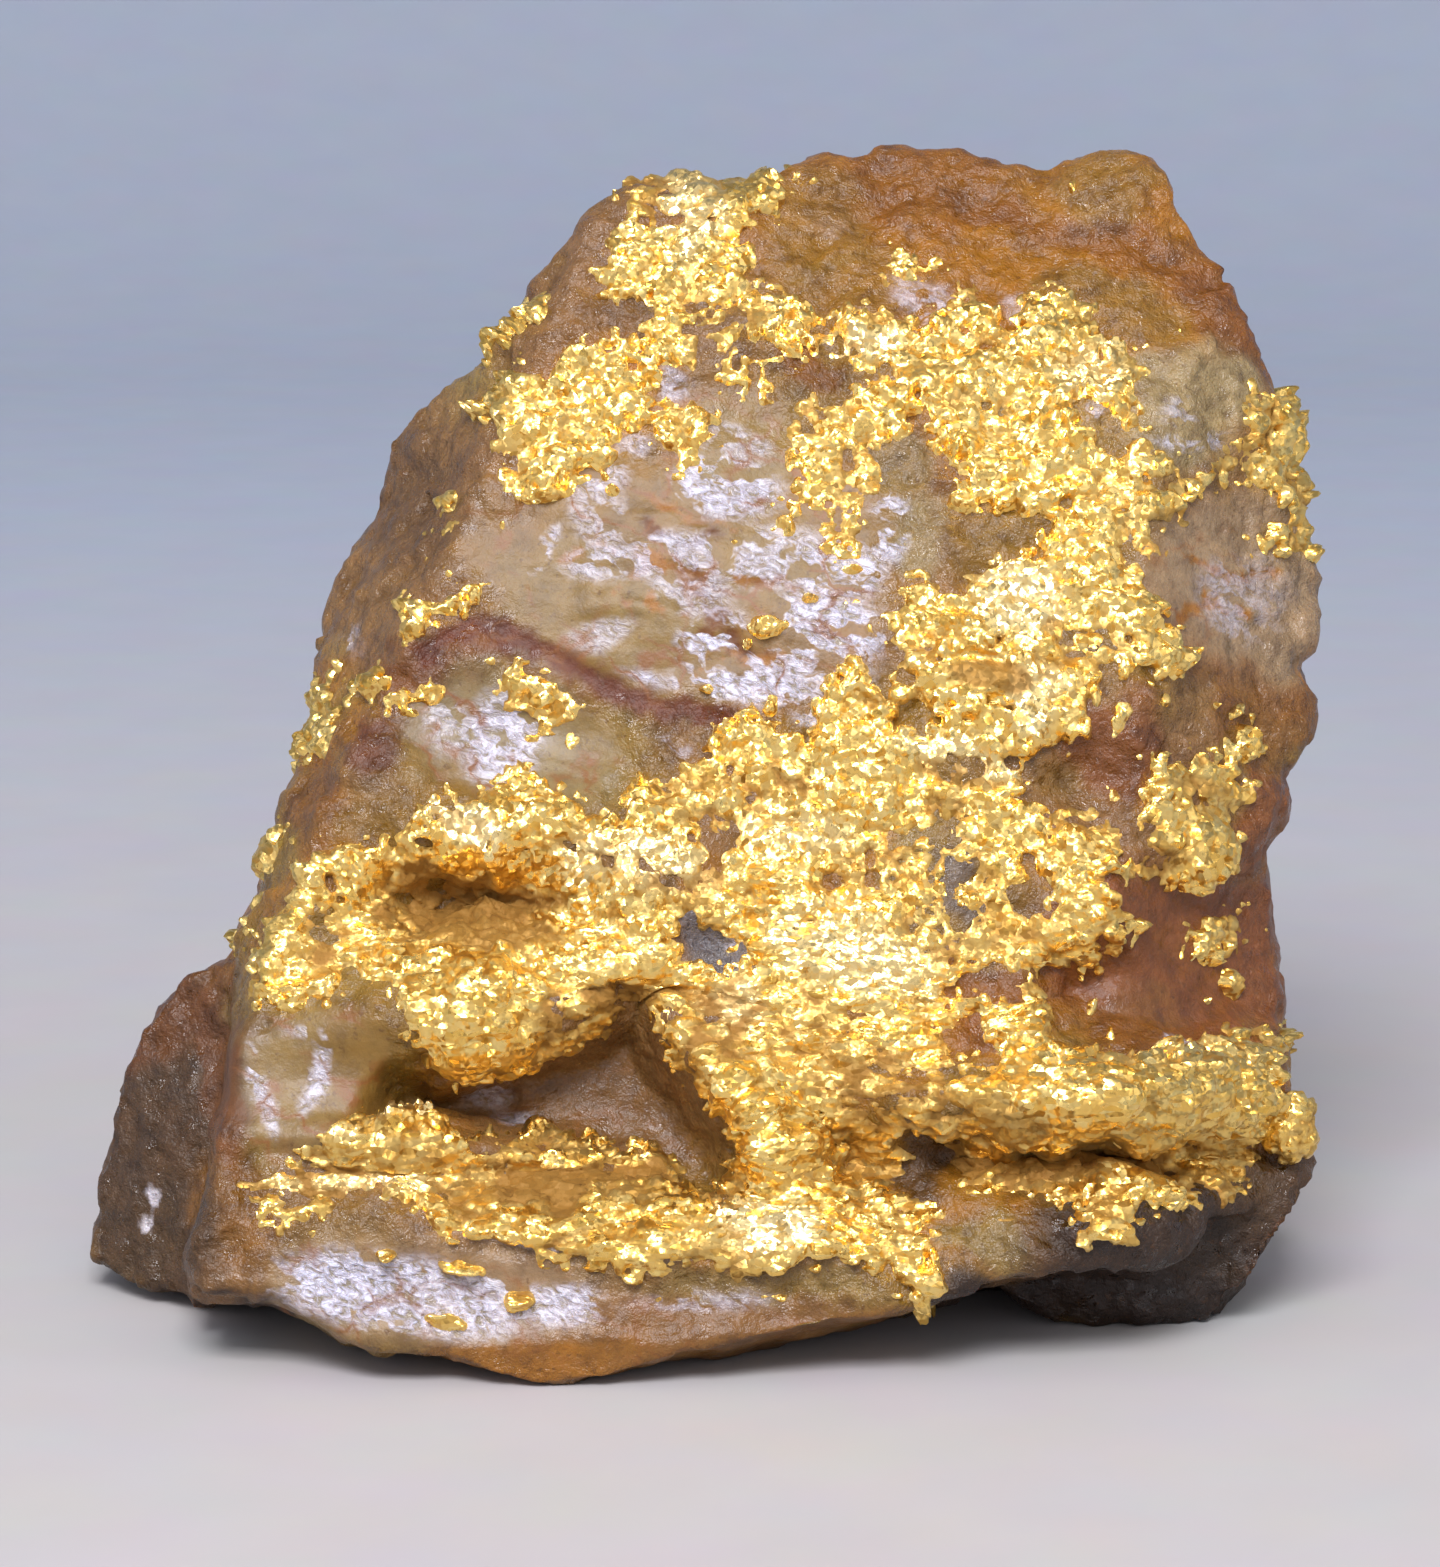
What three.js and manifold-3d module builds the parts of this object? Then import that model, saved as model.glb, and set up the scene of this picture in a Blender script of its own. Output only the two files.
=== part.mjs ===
// A hand specimen of gold ore: one broken lump of iron-stained quartz, with crusts of granular gold on its face.
//
// The lump is described in its own face frame, in millimetres: x runs right across the face, y is the depth
// behind the face, and z runs up the face. The face leans back, so the group is turned about x at the end and
// set down on its broken base.
//
// Places on the face are given as [column, row] on a survey grid of forty squares to the millimetre, counted
// right and down, and gridPoint() turns them into millimetres.

import * as THREE from "three";
import { ConvexGeometry } from "three/addons/geometries/ConvexGeometry.js";
import { mergeVertices } from "three/addons/utils/BufferGeometryUtils.js";
import Module from "manifold-3d";

const wasm = await Module();
wasm.setup();

// ---------------------------------------------------------------- driving dimensions, in millimetres

const SQUARES_PER_MM = 40; // sets the size of the whole specimen: it is about 31 wide and 31 up the face
const GRID_ZERO = [710, 1320]; // the survey square at x = 0, z = 0
const LEAN_BACK = THREE.MathUtils.degToRad(12); // the face frame's turn about x
const CORE = new THREE.Vector3(0.6, 8.6, 13.2); // a point deep inside the lump, which every ray starts from
const RAY_RINGS = 14; // rings of rays between the middle of the face and its rim
const SIDE_ROWS = 4; // rows of rays down the sides, between the rim of the face and the rim of the back
const REAR_RIM_DEPTH = 13.5; // the rays down the sides stop at this depth
const REAR_DEPTH = 17; // the rays to the back aim at this depth
const SWELL_LENGTH = 130; // the outline grows with depth as 1 + depth / SWELL_LENGTH
const SWELL_CENTRE = [0.25, 13.4]; // the point on the face that the outline grows about
const SWELL_DEPTH = 3; // the depth at which the survey grid is at its true size
const EDGE_ROUNDING = 0.5; // how softly two fracture planes meet
const CRUST_GAP = 0.3; // clearance between the quartz and the back of a crust
const CRUST_THICKNESS = 0.55;
const MIN_RAY_COSINE = 0.45; // keeps a ray that grazes the surface from being carried too far out
const MERGE_DISTANCE = 1e-5; // vertices nearer than this are one vertex
const TABLE_ROOM = 60; // wider than the base all round
const PRISM_FRONT = -6; // the crusts' outlines are cut from this depth, in front of the face, backwards
const BASE_ORIGIN = [-0.203, -10.967, 1.45]; // from the turned face frame to the middle of the base

// ---------------------------------------------------------------- small helpers

const gridPoint = ([column, row]) => [
  (column - GRID_ZERO[0]) / SQUARES_PER_MM,
  (GRID_ZERO[1] - row) / SQUARES_PER_MM,
];
const millimetres = (outline) => outline.map(gridPoint);

// A place on the face, at a depth, as a point of the face frame.
const atDepth = ([x, z], depth) => {
  const swell = 1 + (depth - SWELL_DEPTH) / SWELL_LENGTH;
  const [right, up] = [x - SWELL_CENTRE[0], z - SWELL_CENTRE[1]];
  return new THREE.Vector3(SWELL_CENTRE[0] + right * swell, depth, SWELL_CENTRE[1] + up * swell);
};

// The larger of two values, with the corner between them rounded off over a width k.
const roundedMax = (a, b, k = EDGE_ROUNDING) => {
  const h = Math.max(k - Math.abs(a - b), 0) / k;
  return Math.max(a, b) + (h * h * k) / 4;
};
const smoothStep = (low, high, value) => {
  const t = THREE.MathUtils.clamp((value - low) / (high - low), 0, 1);
  return t * t * (3 - 2 * t);
};

// Signed distance from a point to a closed outline: negative inside.
function outlineDistance(outline, x, z) {
  let nearest = Infinity;
  let inside = false;
  for (let i = 0, j = outline.length - 1; i < outline.length; j = i, i += 1) {
    const [ax, az] = outline[i];
    const [bx, bz] = outline[j];
    const along = ((x - ax) * (bx - ax) + (z - az) * (bz - az)) / ((bx - ax) ** 2 + (bz - az) ** 2);
    const t = THREE.MathUtils.clamp(along, 0, 1);
    nearest = Math.min(nearest, Math.hypot(x - ax - t * (bx - ax), z - az - t * (bz - az)));
    if (az > z !== bz > z && x < ((bx - ax) * (z - az)) / (bz - az) + ax) inside = !inside;
  }
  return inside ? -nearest : nearest;
}

// ---------------------------------------------------------------- the quartz

// The widest outline of the lump, seen square to its face, clockwise from its lower left corner. Where a crust
// wraps over the edge, the quartz stops short of it by the crust's thickness.
const LUMP_OUTLINE = millimetres([
  [206, 1290], [196, 1258], [210, 1218], [219, 1172], [226, 1134], [235, 1090], [236, 1040], [240, 990],
  [248, 940], [268, 900], [284, 850], [298, 780], [318, 722], [328, 650], [345, 560], [376, 500],
  [373, 478], [398, 440], [440, 410], [478, 376], [515, 326], [548, 275], [578, 240], [602, 210],
  [630, 192], [682, 185], [720, 195], [775, 188], [810, 147], [848, 148], [875, 127], [920, 132],
  [962, 128], [1005, 152], [1045, 152], [1090, 129], [1130, 131], [1150, 150], [1172, 185], [1200, 248],
  [1222, 272], [1238, 320], [1258, 382], [1272, 420], [1288, 470], [1296, 530], [1318, 580], [1308, 650],
  [1290, 665], [1308, 700], [1303, 735], [1276, 775], [1274, 825], [1256, 845], [1264, 900], [1268, 960],
  [1272, 1010], [1280, 1060], [1282, 1110], [1278, 1165], [1240, 1204], [1200, 1212], [1178, 1240],
  [1136, 1264], [1065, 1262], [1006, 1270], [940, 1292], [865, 1317], [800, 1340], [720, 1350],
  [640, 1358], [580, 1366], [520, 1369], [440, 1350], [365, 1339], [312, 1308], [276, 1292],
]);

// Blocks of the same quartz that stand out behind the face, as the corners [column, row, depth] of their planes.
const REAR_BLOCKS = [
  {
    name: "left block",
    corners: [
      [95, 1252, 8.2], [104, 1188, 8.0], [118, 1128, 7.8], [130, 1066, 7.6], [158, 1012, 7.4], [190, 976, 7.2],
      [232, 962, 6.8], [320, 962, 5.6], [320, 1270, 5.0], [206, 1290, 6.0], [136, 1280, 7.4],
      [112, 1236, 11.2], [136, 1090, 11.8], [180, 1000, 11.6], [250, 966, 11.6], [420, 962, 13.0],
      [420, 1250, 12.0], [170, 1262, 11.2],
    ],
  },
  {
    name: "right foot",
    corners: [
      [1000, 1284, 5.2], [1060, 1320, 5.6], [1204, 1322, 5.8], [1214, 1298, 5.2], [1252, 1270, 5.0],
      [1280, 1226, 5.0], [1300, 1192, 5.2], [1312, 1160, 6.0], [1270, 1110, 5.2], [1090, 1160, 4.4],
      [1000, 1200, 5.4], [1186, 1300, 10.0], [1262, 1220, 10.6], [1290, 1150, 11.0], [1020, 1270, 11.0],
      [1020, 1120, 12.0],
    ],
  },
];

// Fracture planes that bound the face. depth = at + right * (x - x0) + up * (z - z0), in millimetres.
const FACE_PLANES = [
  { name: "front", x0: 0, z0: -1, at: 0.4, right: 0.0, up: 0.25 },
  { name: "left flank", x0: -7.75, z0: 16.5, at: 4.8, right: -1.75, up: 1.0 },
  { name: "right flank", x0: 11.2, z0: 18.0, at: 5.3, right: 0.9, up: 0.2 },
  { name: "upper right slope", x0: 6.0, z0: 24.4, at: 6.9, right: 0.12, up: 0.72 },
];

// Parts of the face that stand back behind the front plane, each with a firm edge.
const SETBACKS = [
  {
    name: "dark hollow",
    depth: 2.4,
    edge: 0.9,
    outline: millimetres([
      [400, 1085], [500, 1068], [580, 1040], [640, 1010], [672, 1060], [722, 1115], [742, 1150], [715, 1192],
      [600, 1160], [470, 1140], [380, 1120],
    ]),
  },
  {
    name: "red-brown face",
    depth: 1.3,
    edge: 0.9,
    outline: millimetres([
      [1140, 880], [1300, 860], [1310, 1030], [1220, 1025], [1190, 1045], [1100, 1050], [1040, 1000],
      [1050, 965], [1125, 940],
    ]),
  },
];

// Rounded swellings and dents of the face: rise is towards the viewer, reach is the half width across and along.
const SWELLINGS = [
  { at: [480, 906], reach: [2.7, 1.15], turn: 4, rise: -2.0 }, // the pocket in the lower sheet
  { at: [520, 826], reach: [3.2, 0.8], turn: 0, rise: 0.6 }, // the rim above it
  { at: [620, 880], reach: [1.9, 1.3], turn: -10, rise: 0.8 }, // the bright swell beside it
  { at: [430, 1010], reach: [3.2, 0.9], turn: 8, rise: 0.7 }, // the lip above the dark hollow
  { at: [640, 990], reach: [1.3, 0.5], turn: 0, rise: -0.7 },
  { at: [725, 1100], reach: [3.4, 0.9], turn: -48, rise: 0.9 }, // the diagonal ridge
  { at: [850, 1150], reach: [1.8, 0.6], turn: -35, rise: -0.8 },
  { at: [450, 1138], reach: [4.0, 0.5], turn: -2, rise: 0.7 }, // the two ridges of the lower band
  { at: [570, 1182], reach: [3.4, 0.6], turn: -4, rise: -1.0 },
  { at: [600, 1240], reach: [7.5, 0.9], turn: -3, rise: 0.6 },
  { at: [1100, 1082], reach: [4.8, 0.9], turn: 2, rise: 1.3 }, // the ledge on the right
  { at: [1060, 1160], reach: [3.8, 0.75], turn: 0, rise: -1.5 }, // the cavern under it
  { at: [1110, 1228], reach: [1.4, 0.5], turn: 0, rise: 0.5 },
  { at: [960, 640], reach: [4.4, 3.6], turn: 0, rise: 0.6 },
  { at: [708, 942], reach: [0.9, 0.5], turn: -15, rise: -0.9 },
  { at: [1075, 785], reach: [1.6, 0.8], turn: 0, rise: -0.7 },
  { at: [700, 560], reach: [3.4, 2.4], turn: 0, rise: 0.35 },
  { at: [540, 740], reach: [3.0, 1.2], turn: -10, rise: -0.6 }, // the sunk panel below the dark seam
];

// Planes that bound the hidden sides, as [x, y, z, distance from the core], their normals not yet scaled.
const REAR_PLANES = [
  [0.05, 1, 0.05, 8.2],
  [0.75, 0.75, 0.1, 13.4],
  [-0.8, 0.62, 0.15, 13.6],
  [0.15, 0.75, 0.7, 16.3],
  [-0.55, 0.5, 0.75, 14.6],
  [0.35, 0.85, -0.45, 11.8],
  [-0.35, 0.9, -0.4, 11.6],
  [0.62, 0.35, 0.75, 20.0],
].map(([x, y, z, distance]) => ({ normal: new THREE.Vector3(x, y, z).normalize(), distance }));
const REAR_TAPER = { from: 9.5, slope: 0.3 }; // the sides draw in behind this depth

// The underside, in the frame of the table: height at the middle, then its rise with x and with depth y.
const UNDERSIDES = [
  { at: -0.4, right: 0, back: 0 }, // cut flush with the table afterwards
  { at: 1.25, right: 0.207, back: -0.42 },
  { at: -1.2, right: -0.303, back: -0.42 },
];

// Depth of the fracture planes behind the face frame's zero, at a place on the face.
const planeDepth = (x, z) =>
  FACE_PLANES.map(({ x0, z0, at, right, up }) => at + right * (x - x0) + up * (z - z0)).reduce((deepest, depth) =>
    roundedMax(deepest, depth),
  );

// Depth of the face itself, with its steps and its swellings.
function faceDepth(x, z) {
  let depth = planeDepth(x, z);
  for (const { depth: back, edge, outline } of SETBACKS) {
    depth += back * (1 - smoothStep(-edge, edge, outlineDistance(outline, x, z)));
  }
  for (const { at, reach, turn, rise } of SWELLINGS) {
    const [x0, z0] = gridPoint(at);
    const angle = THREE.MathUtils.degToRad(turn);
    const along = ((x - x0) * Math.cos(angle) + (z - z0) * Math.sin(angle)) / reach[0];
    const across = ((z - z0) * Math.cos(angle) - (x - x0) * Math.sin(angle)) / reach[1];
    depth -= rise * Math.exp(-along * along - across * across);
  }
  return depth;
}

// Height above the table of a point in the face frame.
const tableFrame = ({ x, y, z }) => {
  const [sin, cos] = [Math.sin(LEAN_BACK), Math.cos(LEAN_BACK)];
  return { x, y: y * cos + z * sin, z: z * cos - y * sin + BASE_ORIGIN[2] };
};

// Negative inside the lump, positive outside, about in millimetres.
function lumpField(point) {
  const swell = 1 + (point.y - SWELL_DEPTH) / SWELL_LENGTH;
  const x = SWELL_CENTRE[0] + (point.x - SWELL_CENTRE[0]) / swell;
  const z = SWELL_CENTRE[1] + (point.z - SWELL_CENTRE[1]) / swell;
  const drawnIn = REAR_TAPER.slope * Math.max(0, point.y - REAR_TAPER.from);
  let field = roundedMax(faceDepth(x, z) - point.y, outlineDistance(LUMP_OUTLINE, x, z) + drawnIn);
  const fromCore = point.clone().sub(CORE);
  for (const { normal, distance } of REAR_PLANES) {
    field = roundedMax(field, normal.dot(fromCore) - distance);
  }
  const onTable = tableFrame(point);
  for (const { at, right, back } of UNDERSIDES) {
    field = Math.max(field, at + right * onTable.x + back * onTable.y - onTable.z);
  }
  return field;
}

// Where a ray from the core first leaves the lump.
function surfacePoint(direction) {
  const step = 0.25;
  const reach = 30;
  const at = (distance) => CORE.clone().addScaledVector(direction, distance);
  let inside = 0;
  let outside = step;
  while (outside < reach && lumpField(at(outside)) < 0) {
    inside = outside;
    outside += step;
  }
  for (let halving = 0; halving < 12; halving += 1) {
    const middle = (inside + outside) / 2;
    if (lumpField(at(middle)) < 0) inside = middle;
    else outside = middle;
  }
  return at((inside + outside) / 2);
}

// The outline with its longest edges halved until it has the given number of points.
function dividedOutline(outline, count) {
  const points = [...outline];
  const length = (i) => {
    const next = points[(i + 1) % points.length];
    return Math.hypot(next[0] - points[i][0], next[1] - points[i][1]);
  };
  while (points.length < count) {
    const lengths = points.map((_, i) => length(i));
    const longest = lengths.indexOf(Math.max(...lengths));
    const next = points[(longest + 1) % points.length];
    points.splice(longest + 1, 0, [(points[longest][0] + next[0]) / 2, (points[longest][1] + next[1]) / 2]);
  }
  return points;
}

// The closed surface of the lump. Its rays are laid out as a disc of hexagonal rings over the face, rows down
// the sides that keep to the points of the outline, and a second disc over the back.
function lumpGeometry() {
  const rim = dividedOutline(LUMP_OUTLINE, 6 * RAY_RINGS);
  const rimPoint = (turn) => {
    const place = turn * rim.length;
    const [i, t] = [Math.floor(place), place - Math.floor(place)];
    const [from, to] = [rim[i % rim.length], rim[(i + 1) % rim.length]];
    return [from[0] + (to[0] - from[0]) * t, from[1] + (to[1] - from[1]) * t];
  };
  const targets = [];
  const addTarget = (place, depth) => targets.push(atDepth(place, depth)) - 1;
  const discRings = (depthAt) => {
    const rings = [];
    for (let ring = 0; ring <= RAY_RINGS; ring += 1) {
      const part = ring / RAY_RINGS;
      const count = Math.max(1, 6 * ring);
      rings.push(Array.from({ length: count }, (_, i) => {
        const [x, z] = rimPoint(i / count);
        const place = [CORE.x + (x - CORE.x) * part, CORE.z + (z - CORE.z) * part];
        return addTarget(place, depthAt(...place));
      }));
    }
    return rings;
  };
  const triangles = [];
  const addDisc = (rings, facingFront) => {
    const add = (a, b, c) => triangles.push(...(facingFront ? [a, b, c] : [a, c, b]));
    for (let ring = 0; ring < RAY_RINGS; ring += 1) {
      const [inner, outer] = [rings[ring], rings[ring + 1]];
      for (let side = 0; side < 6; side += 1) {
        for (let i = 0; i <= ring; i += 1) {
          const near = inner[(side * ring + i) % inner.length];
          const far = outer[side * (ring + 1) + i];
          const farNext = outer[(side * (ring + 1) + i + 1) % outer.length];
          add(near, farNext, far);
          if (i < ring) add(near, inner[(side * ring + i + 1) % inner.length], farNext);
        }
      }
    }
  };
  const front = discRings(planeDepth);
  const back = discRings(() => REAR_DEPTH);
  const rows = [front[RAY_RINGS]];
  for (let row = 1; row <= SIDE_ROWS; row += 1) {
    const part = row / (SIDE_ROWS + 1);
    rows.push(rim.map(([x, z]) => {
      const start = planeDepth(x, z);
      return addTarget([x, z], start + (REAR_RIM_DEPTH - start) * part);
    }));
  }
  rows.push(back[RAY_RINGS]);
  addDisc(front, true);
  for (let row = 0; row < rows.length - 1; row += 1) {
    rim.forEach((_, i) => {
      const j = (i + 1) % rim.length;
      triangles.push(rows[row][i], rows[row + 1][j], rows[row + 1][i]);
      triangles.push(rows[row][i], rows[row][j], rows[row + 1][j]);
    });
  }
  addDisc(back, false);

  const places = new Float32Array(targets.length * 3);
  targets.forEach((target, i) => surfacePoint(target.sub(CORE).normalize()).toArray(places, i * 3));
  const geometry = new THREE.BufferGeometry();
  geometry.setAttribute("position", new THREE.BufferAttribute(places, 3));
  geometry.setIndex(triangles);
  geometry.computeVertexNormals();
  return geometry;
}

// The same surface carried out along the rays from the core, to a distance in front of it.
function raised(geometry, distance) {
  const moved = geometry.clone();
  const position = moved.getAttribute("position");
  const normals = moved.getAttribute("normal");
  for (let i = 0; i < position.count; i += 1) {
    const point = new THREE.Vector3().fromBufferAttribute(position, i);
    const ray = point.clone().sub(CORE).normalize();
    const cosine = Math.max(ray.dot(new THREE.Vector3().fromBufferAttribute(normals, i)), MIN_RAY_COSINE);
    point.addScaledVector(ray, distance / cosine);
    position.setXYZ(i, point.x, point.y, point.z);
  }
  return moved;
}

// ---------------------------------------------------------------- the gold

// Each crust is the stretch of a shell over the quartz that lies behind its outline on the face, down to a depth.
const CRUSTS = [
  {
    name: "gold_crust_main",
    depth: 9.6,
    outline: [
      [828, 312], [868, 306], [900, 322], [925, 325], [948, 300], [975, 278], [992, 298], [1005, 325],
      [1022, 305], [1036, 285], [1062, 305], [1086, 314], [1100, 342], [1136, 345], [1140, 362], [1130, 392],
      [1143, 428], [1152, 452], [1190, 470], [1220, 460], [1240, 428], [1222, 395], [1242, 390], [1300, 398],
      [1335, 480], [1335, 545], [1300, 560], [1252, 556], [1250, 538], [1280, 518], [1262, 484], [1222, 488],
      [1180, 508], [1180, 524], [1150, 538], [1170, 552], [1150, 585], [1162, 625], [1192, 652], [1165, 684],
      [1130, 672], [1096, 686], [1086, 735], [1062, 752], [1040, 748], [1012, 762], [1022, 792], [1045, 812],
      [1075, 805], [1098, 780], [1118, 790], [1128, 822], [1142, 812], [1142, 742], [1180, 748], [1228, 752],
      [1230, 732], [1212, 706], [1236, 710], [1258, 748], [1238, 762], [1248, 798], [1226, 816], [1232, 836],
      [1205, 882], [1160, 886], [1120, 878], [1114, 896], [1130, 930], [1100, 965], [1038, 970], [1032, 985],
      [1056, 1018], [1062, 1038], [1110, 1056], [1190, 1052], [1222, 1040], [1220, 1020], [1262, 1028],
      [1280, 1032], [1276, 1060], [1262, 1090], [1262, 1150], [1240, 1200], [1192, 1206], [1136, 1208],
      [1130, 1246], [1085, 1240], [1070, 1206], [1000, 1192], [945, 1200], [928, 1230], [940, 1282],
      [912, 1298], [880, 1270], [800, 1258], [740, 1278], [690, 1262], [640, 1280], [560, 1262], [440, 1226],
      [400, 1194], [345, 1194], [312, 1230], [262, 1216], [240, 1176], [290, 1168], [320, 1130], [362, 1116],
      [440, 1124], [484, 1146], [545, 1120], [596, 1132], [640, 1152], [634, 1127], [674, 1147], [694, 1196],
      [738, 1168], [740, 1142], [696, 1090], [656, 1030], [638, 1010], [605, 1036], [556, 1060], [500, 1068],
      [444, 1076], [418, 1034], [396, 990], [352, 974], [334, 1002], [290, 1012], [254, 1000], [250, 958],
      [278, 912], [308, 862], [340, 842], [396, 838], [452, 794], [520, 764], [580, 800], [622, 816], [640, 778],
      [700, 762], [716, 724], [750, 716], [800, 736], [836, 664], [862, 660], [886, 690], [892, 650],
      [870, 625], [898, 590], [916, 570], [946, 590], [985, 560], [1032, 552], [1036, 522], [1000, 512],
      [962, 512], [950, 458], [916, 408], [900, 430], [880, 455], [882, 488], [862, 512], [870, 546],
      [844, 562], [826, 546], [830, 526], [806, 508], [786, 540], [780, 522], [798, 480], [786, 452],
      [792, 400], [838, 396], [860, 384], [846, 360], [830, 336],
    ],
    holes: [
      [[1070, 420], [1084, 404], [1112, 420], [1130, 442], [1120, 450], [1082, 440]],
      [[896, 712], [918, 698], [938, 714], [932, 738], [906, 738]],
      [[944, 905], [948, 862], [964, 860], [966, 884], [958, 930], [948, 936]],
      [[1010, 890], [1030, 874], [1052, 886], [1044, 908], [1024, 912]],
      [[668, 936], [692, 922], [722, 928], [746, 958], [728, 968], [684, 950]],
      [[936, 984], [956, 968], [1010, 972], [1034, 1002], [1022, 1008], [972, 988], [948, 1000]],
      [[944, 1030], [972, 1022], [1000, 1058], [976, 1056]],
      [[903, 1134], [944, 1140], [946, 1196], [918, 1190]],
    ],
  },
  {
    name: "gold_crown",
    depth: 11,
    outline: [
      [622, 186], [664, 150], [778, 150], [794, 192], [774, 222], [748, 212], [762, 280], [790, 298],
      [810, 308], [818, 348], [798, 358], [744, 342], [736, 364], [786, 396], [744, 396], [690, 370],
      [660, 372], [654, 408], [690, 408], [716, 424], [700, 480], [676, 478], [648, 432], [622, 436],
      [604, 478], [572, 482], [545, 508], [500, 496], [488, 460], [494, 436], [478, 404], [498, 376],
      [550, 370], [584, 346], [640, 346], [652, 312], [602, 302], [592, 270], [616, 230],
    ],
    holes: [],
  },
  {
    name: "gold_islet_top",
    depth: 12,
    outline: [[876, 268], [896, 248], [910, 262], [934, 262], [944, 284], [908, 284], [884, 290]],
    holes: [],
  },
  {
    name: "gold_edge_upper_left",
    depth: 9,
    outline: [
      [550, 296], [552, 314], [512, 350], [462, 376], [424, 420], [400, 410], [440, 360], [500, 290],
    ],
    holes: [],
  },
  {
    name: "gold_patch_left_upper",
    depth: 10,
    outline: [[436, 492], [458, 488], [466, 530], [452, 572], [430, 576], [424, 548], [438, 528]],
    holes: [],
  },
  {
    name: "gold_patch_left_lower",
    depth: 10,
    outline: [[402, 592], [446, 600], [478, 582], [488, 598], [446, 622], [424, 648], [404, 642]],
    holes: [],
  },
  {
    name: "gold_island",
    depth: 8,
    outline: [
      [484, 672], [512, 658], [548, 672], [592, 704], [572, 752], [540, 742], [516, 716], [490, 704],
    ],
    holes: [],
  },
  {
    name: "gold_sliver",
    depth: 8,
    outline: [[346, 674], [382, 660], [388, 690], [446, 684], [440, 706], [396, 720], [372, 700], [350, 692]],
    holes: [],
  },
  {
    name: "gold_edge_left_middle",
    depth: 9,
    outline: [[296, 690], [334, 678], [346, 706], [330, 766], [296, 764], [262, 790], [262, 750]],
    holes: [],
  },
  {
    name: "gold_edge_left_lower",
    depth: 6.5,
    outline: [[290, 828], [292, 852], [270, 888], [256, 922], [240, 940], [226, 930], [232, 900], [258, 830]],
    holes: [],
  },
  {
    name: "gold_column_right",
    depth: 9,
    outline: [[1178, 926], [1200, 918], [1238, 904], [1250, 928], [1228, 946], [1204, 962], [1184, 958]],
    holes: [],
  },
];

// The nugget beside the ledge is a rounded grain of its own: its middle, its radii and its turn about y.
const NUGGET = {
  name: "gold_nugget_right",
  at: [1297, 1130],
  depth: 5.0,
  radii: [0.85, 0.9, 1.2],
  turn: 12,
};

const solidOf = (geometry) => {
  const bare = geometry.clone();
  bare.deleteAttribute("normal");
  bare.deleteAttribute("uv");
  const merged = mergeVertices(bare, MERGE_DISTANCE);
  return new wasm.Manifold(
    new wasm.Mesh({
      numProp: 3,
      vertProperties: Float32Array.from(merged.getAttribute("position").array),
      triVerts: Uint32Array.from(merged.index.array),
    }),
  );
};

const geometryOf = (solid) => {
  const { numProp, numVert, vertProperties, triVerts } = solid.getMesh();
  const places = new Float32Array(numVert * 3);
  for (let i = 0; i < numVert; i += 1) {
    places.set(vertProperties.subarray(i * numProp, i * numProp + 3), i * 3);
  }
  const geometry = new THREE.BufferGeometry();
  geometry.setAttribute("position", new THREE.BufferAttribute(places, 3));
  geometry.setIndex(new THREE.BufferAttribute(triVerts, 1));
  geometry.computeVertexNormals();
  return geometry;
};

// A prism from in front of the face back to a depth, its section growing with depth as the lump's outline does.
function outlinePrism(outline, depth) {
  const shape = new THREE.Shape(millimetres(outline).map(([x, z]) => new THREE.Vector2(x, z)));
  const prism = new THREE.ExtrudeGeometry(shape, { depth: depth - PRISM_FRONT, bevelEnabled: false });
  const position = prism.getAttribute("position");
  for (let i = 0; i < position.count; i += 1) {
    const point = atDepth([position.getX(i), position.getY(i)], depth - position.getZ(i));
    position.setXYZ(i, point.x, point.y, point.z);
  }
  return solidOf(prism);
}

// One of the rear blocks, its corners pushed outwards from its middle by a margin.
function blockSolid({ corners }, margin = 0) {
  const points = corners.map(([column, row, depth]) => atDepth(gridPoint([column, row]), depth));
  const middle = points.reduce((sum, point) => sum.add(point), new THREE.Vector3()).divideScalar(points.length);
  for (const point of points) {
    point.addScaledVector(point.clone().sub(middle).normalize(), margin);
  }
  return solidOf(new ConvexGeometry(points));
}

// The space below the table, in the face frame.
function tableRoom() {
  const room = new THREE.BoxGeometry(TABLE_ROOM, TABLE_ROOM, TABLE_ROOM);
  room.translate(-BASE_ORIGIN[0], -BASE_ORIGIN[1], -BASE_ORIGIN[2] - TABLE_ROOM / 2);
  return solidOf(room.rotateX(LEAN_BACK));
}

// The largest body of a solid that a cut may have left in several.
const largestBody = (solid) =>
  solid.decompose().reduce((best, body) => (body.volume() > best.volume() ? body : best));

function nuggetGeometry({ at, depth, radii, turn }) {
  const [x, z] = gridPoint(at);
  const facets = new THREE.IcosahedronGeometry(1, 3);
  facets.scale(...radii);
  facets.rotateY(THREE.MathUtils.degToRad(turn));
  return facets.translate(x, depth, z);
}

// ---------------------------------------------------------------- the specimen

const QUARTZ_FINISH = { color: 0xa5783f, roughness: 0.35, metalness: 0 }; // iron-stained quartz
const GOLD_FINISH = { color: 0xe0a83a, roughness: 0.3, metalness: 1 }; // native gold

const named = (name, solid, finish) => {
  const mesh = new THREE.Mesh(geometryOf(solid), new THREE.MeshStandardMaterial(finish));
  mesh.name = name;
  return mesh;
};

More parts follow.
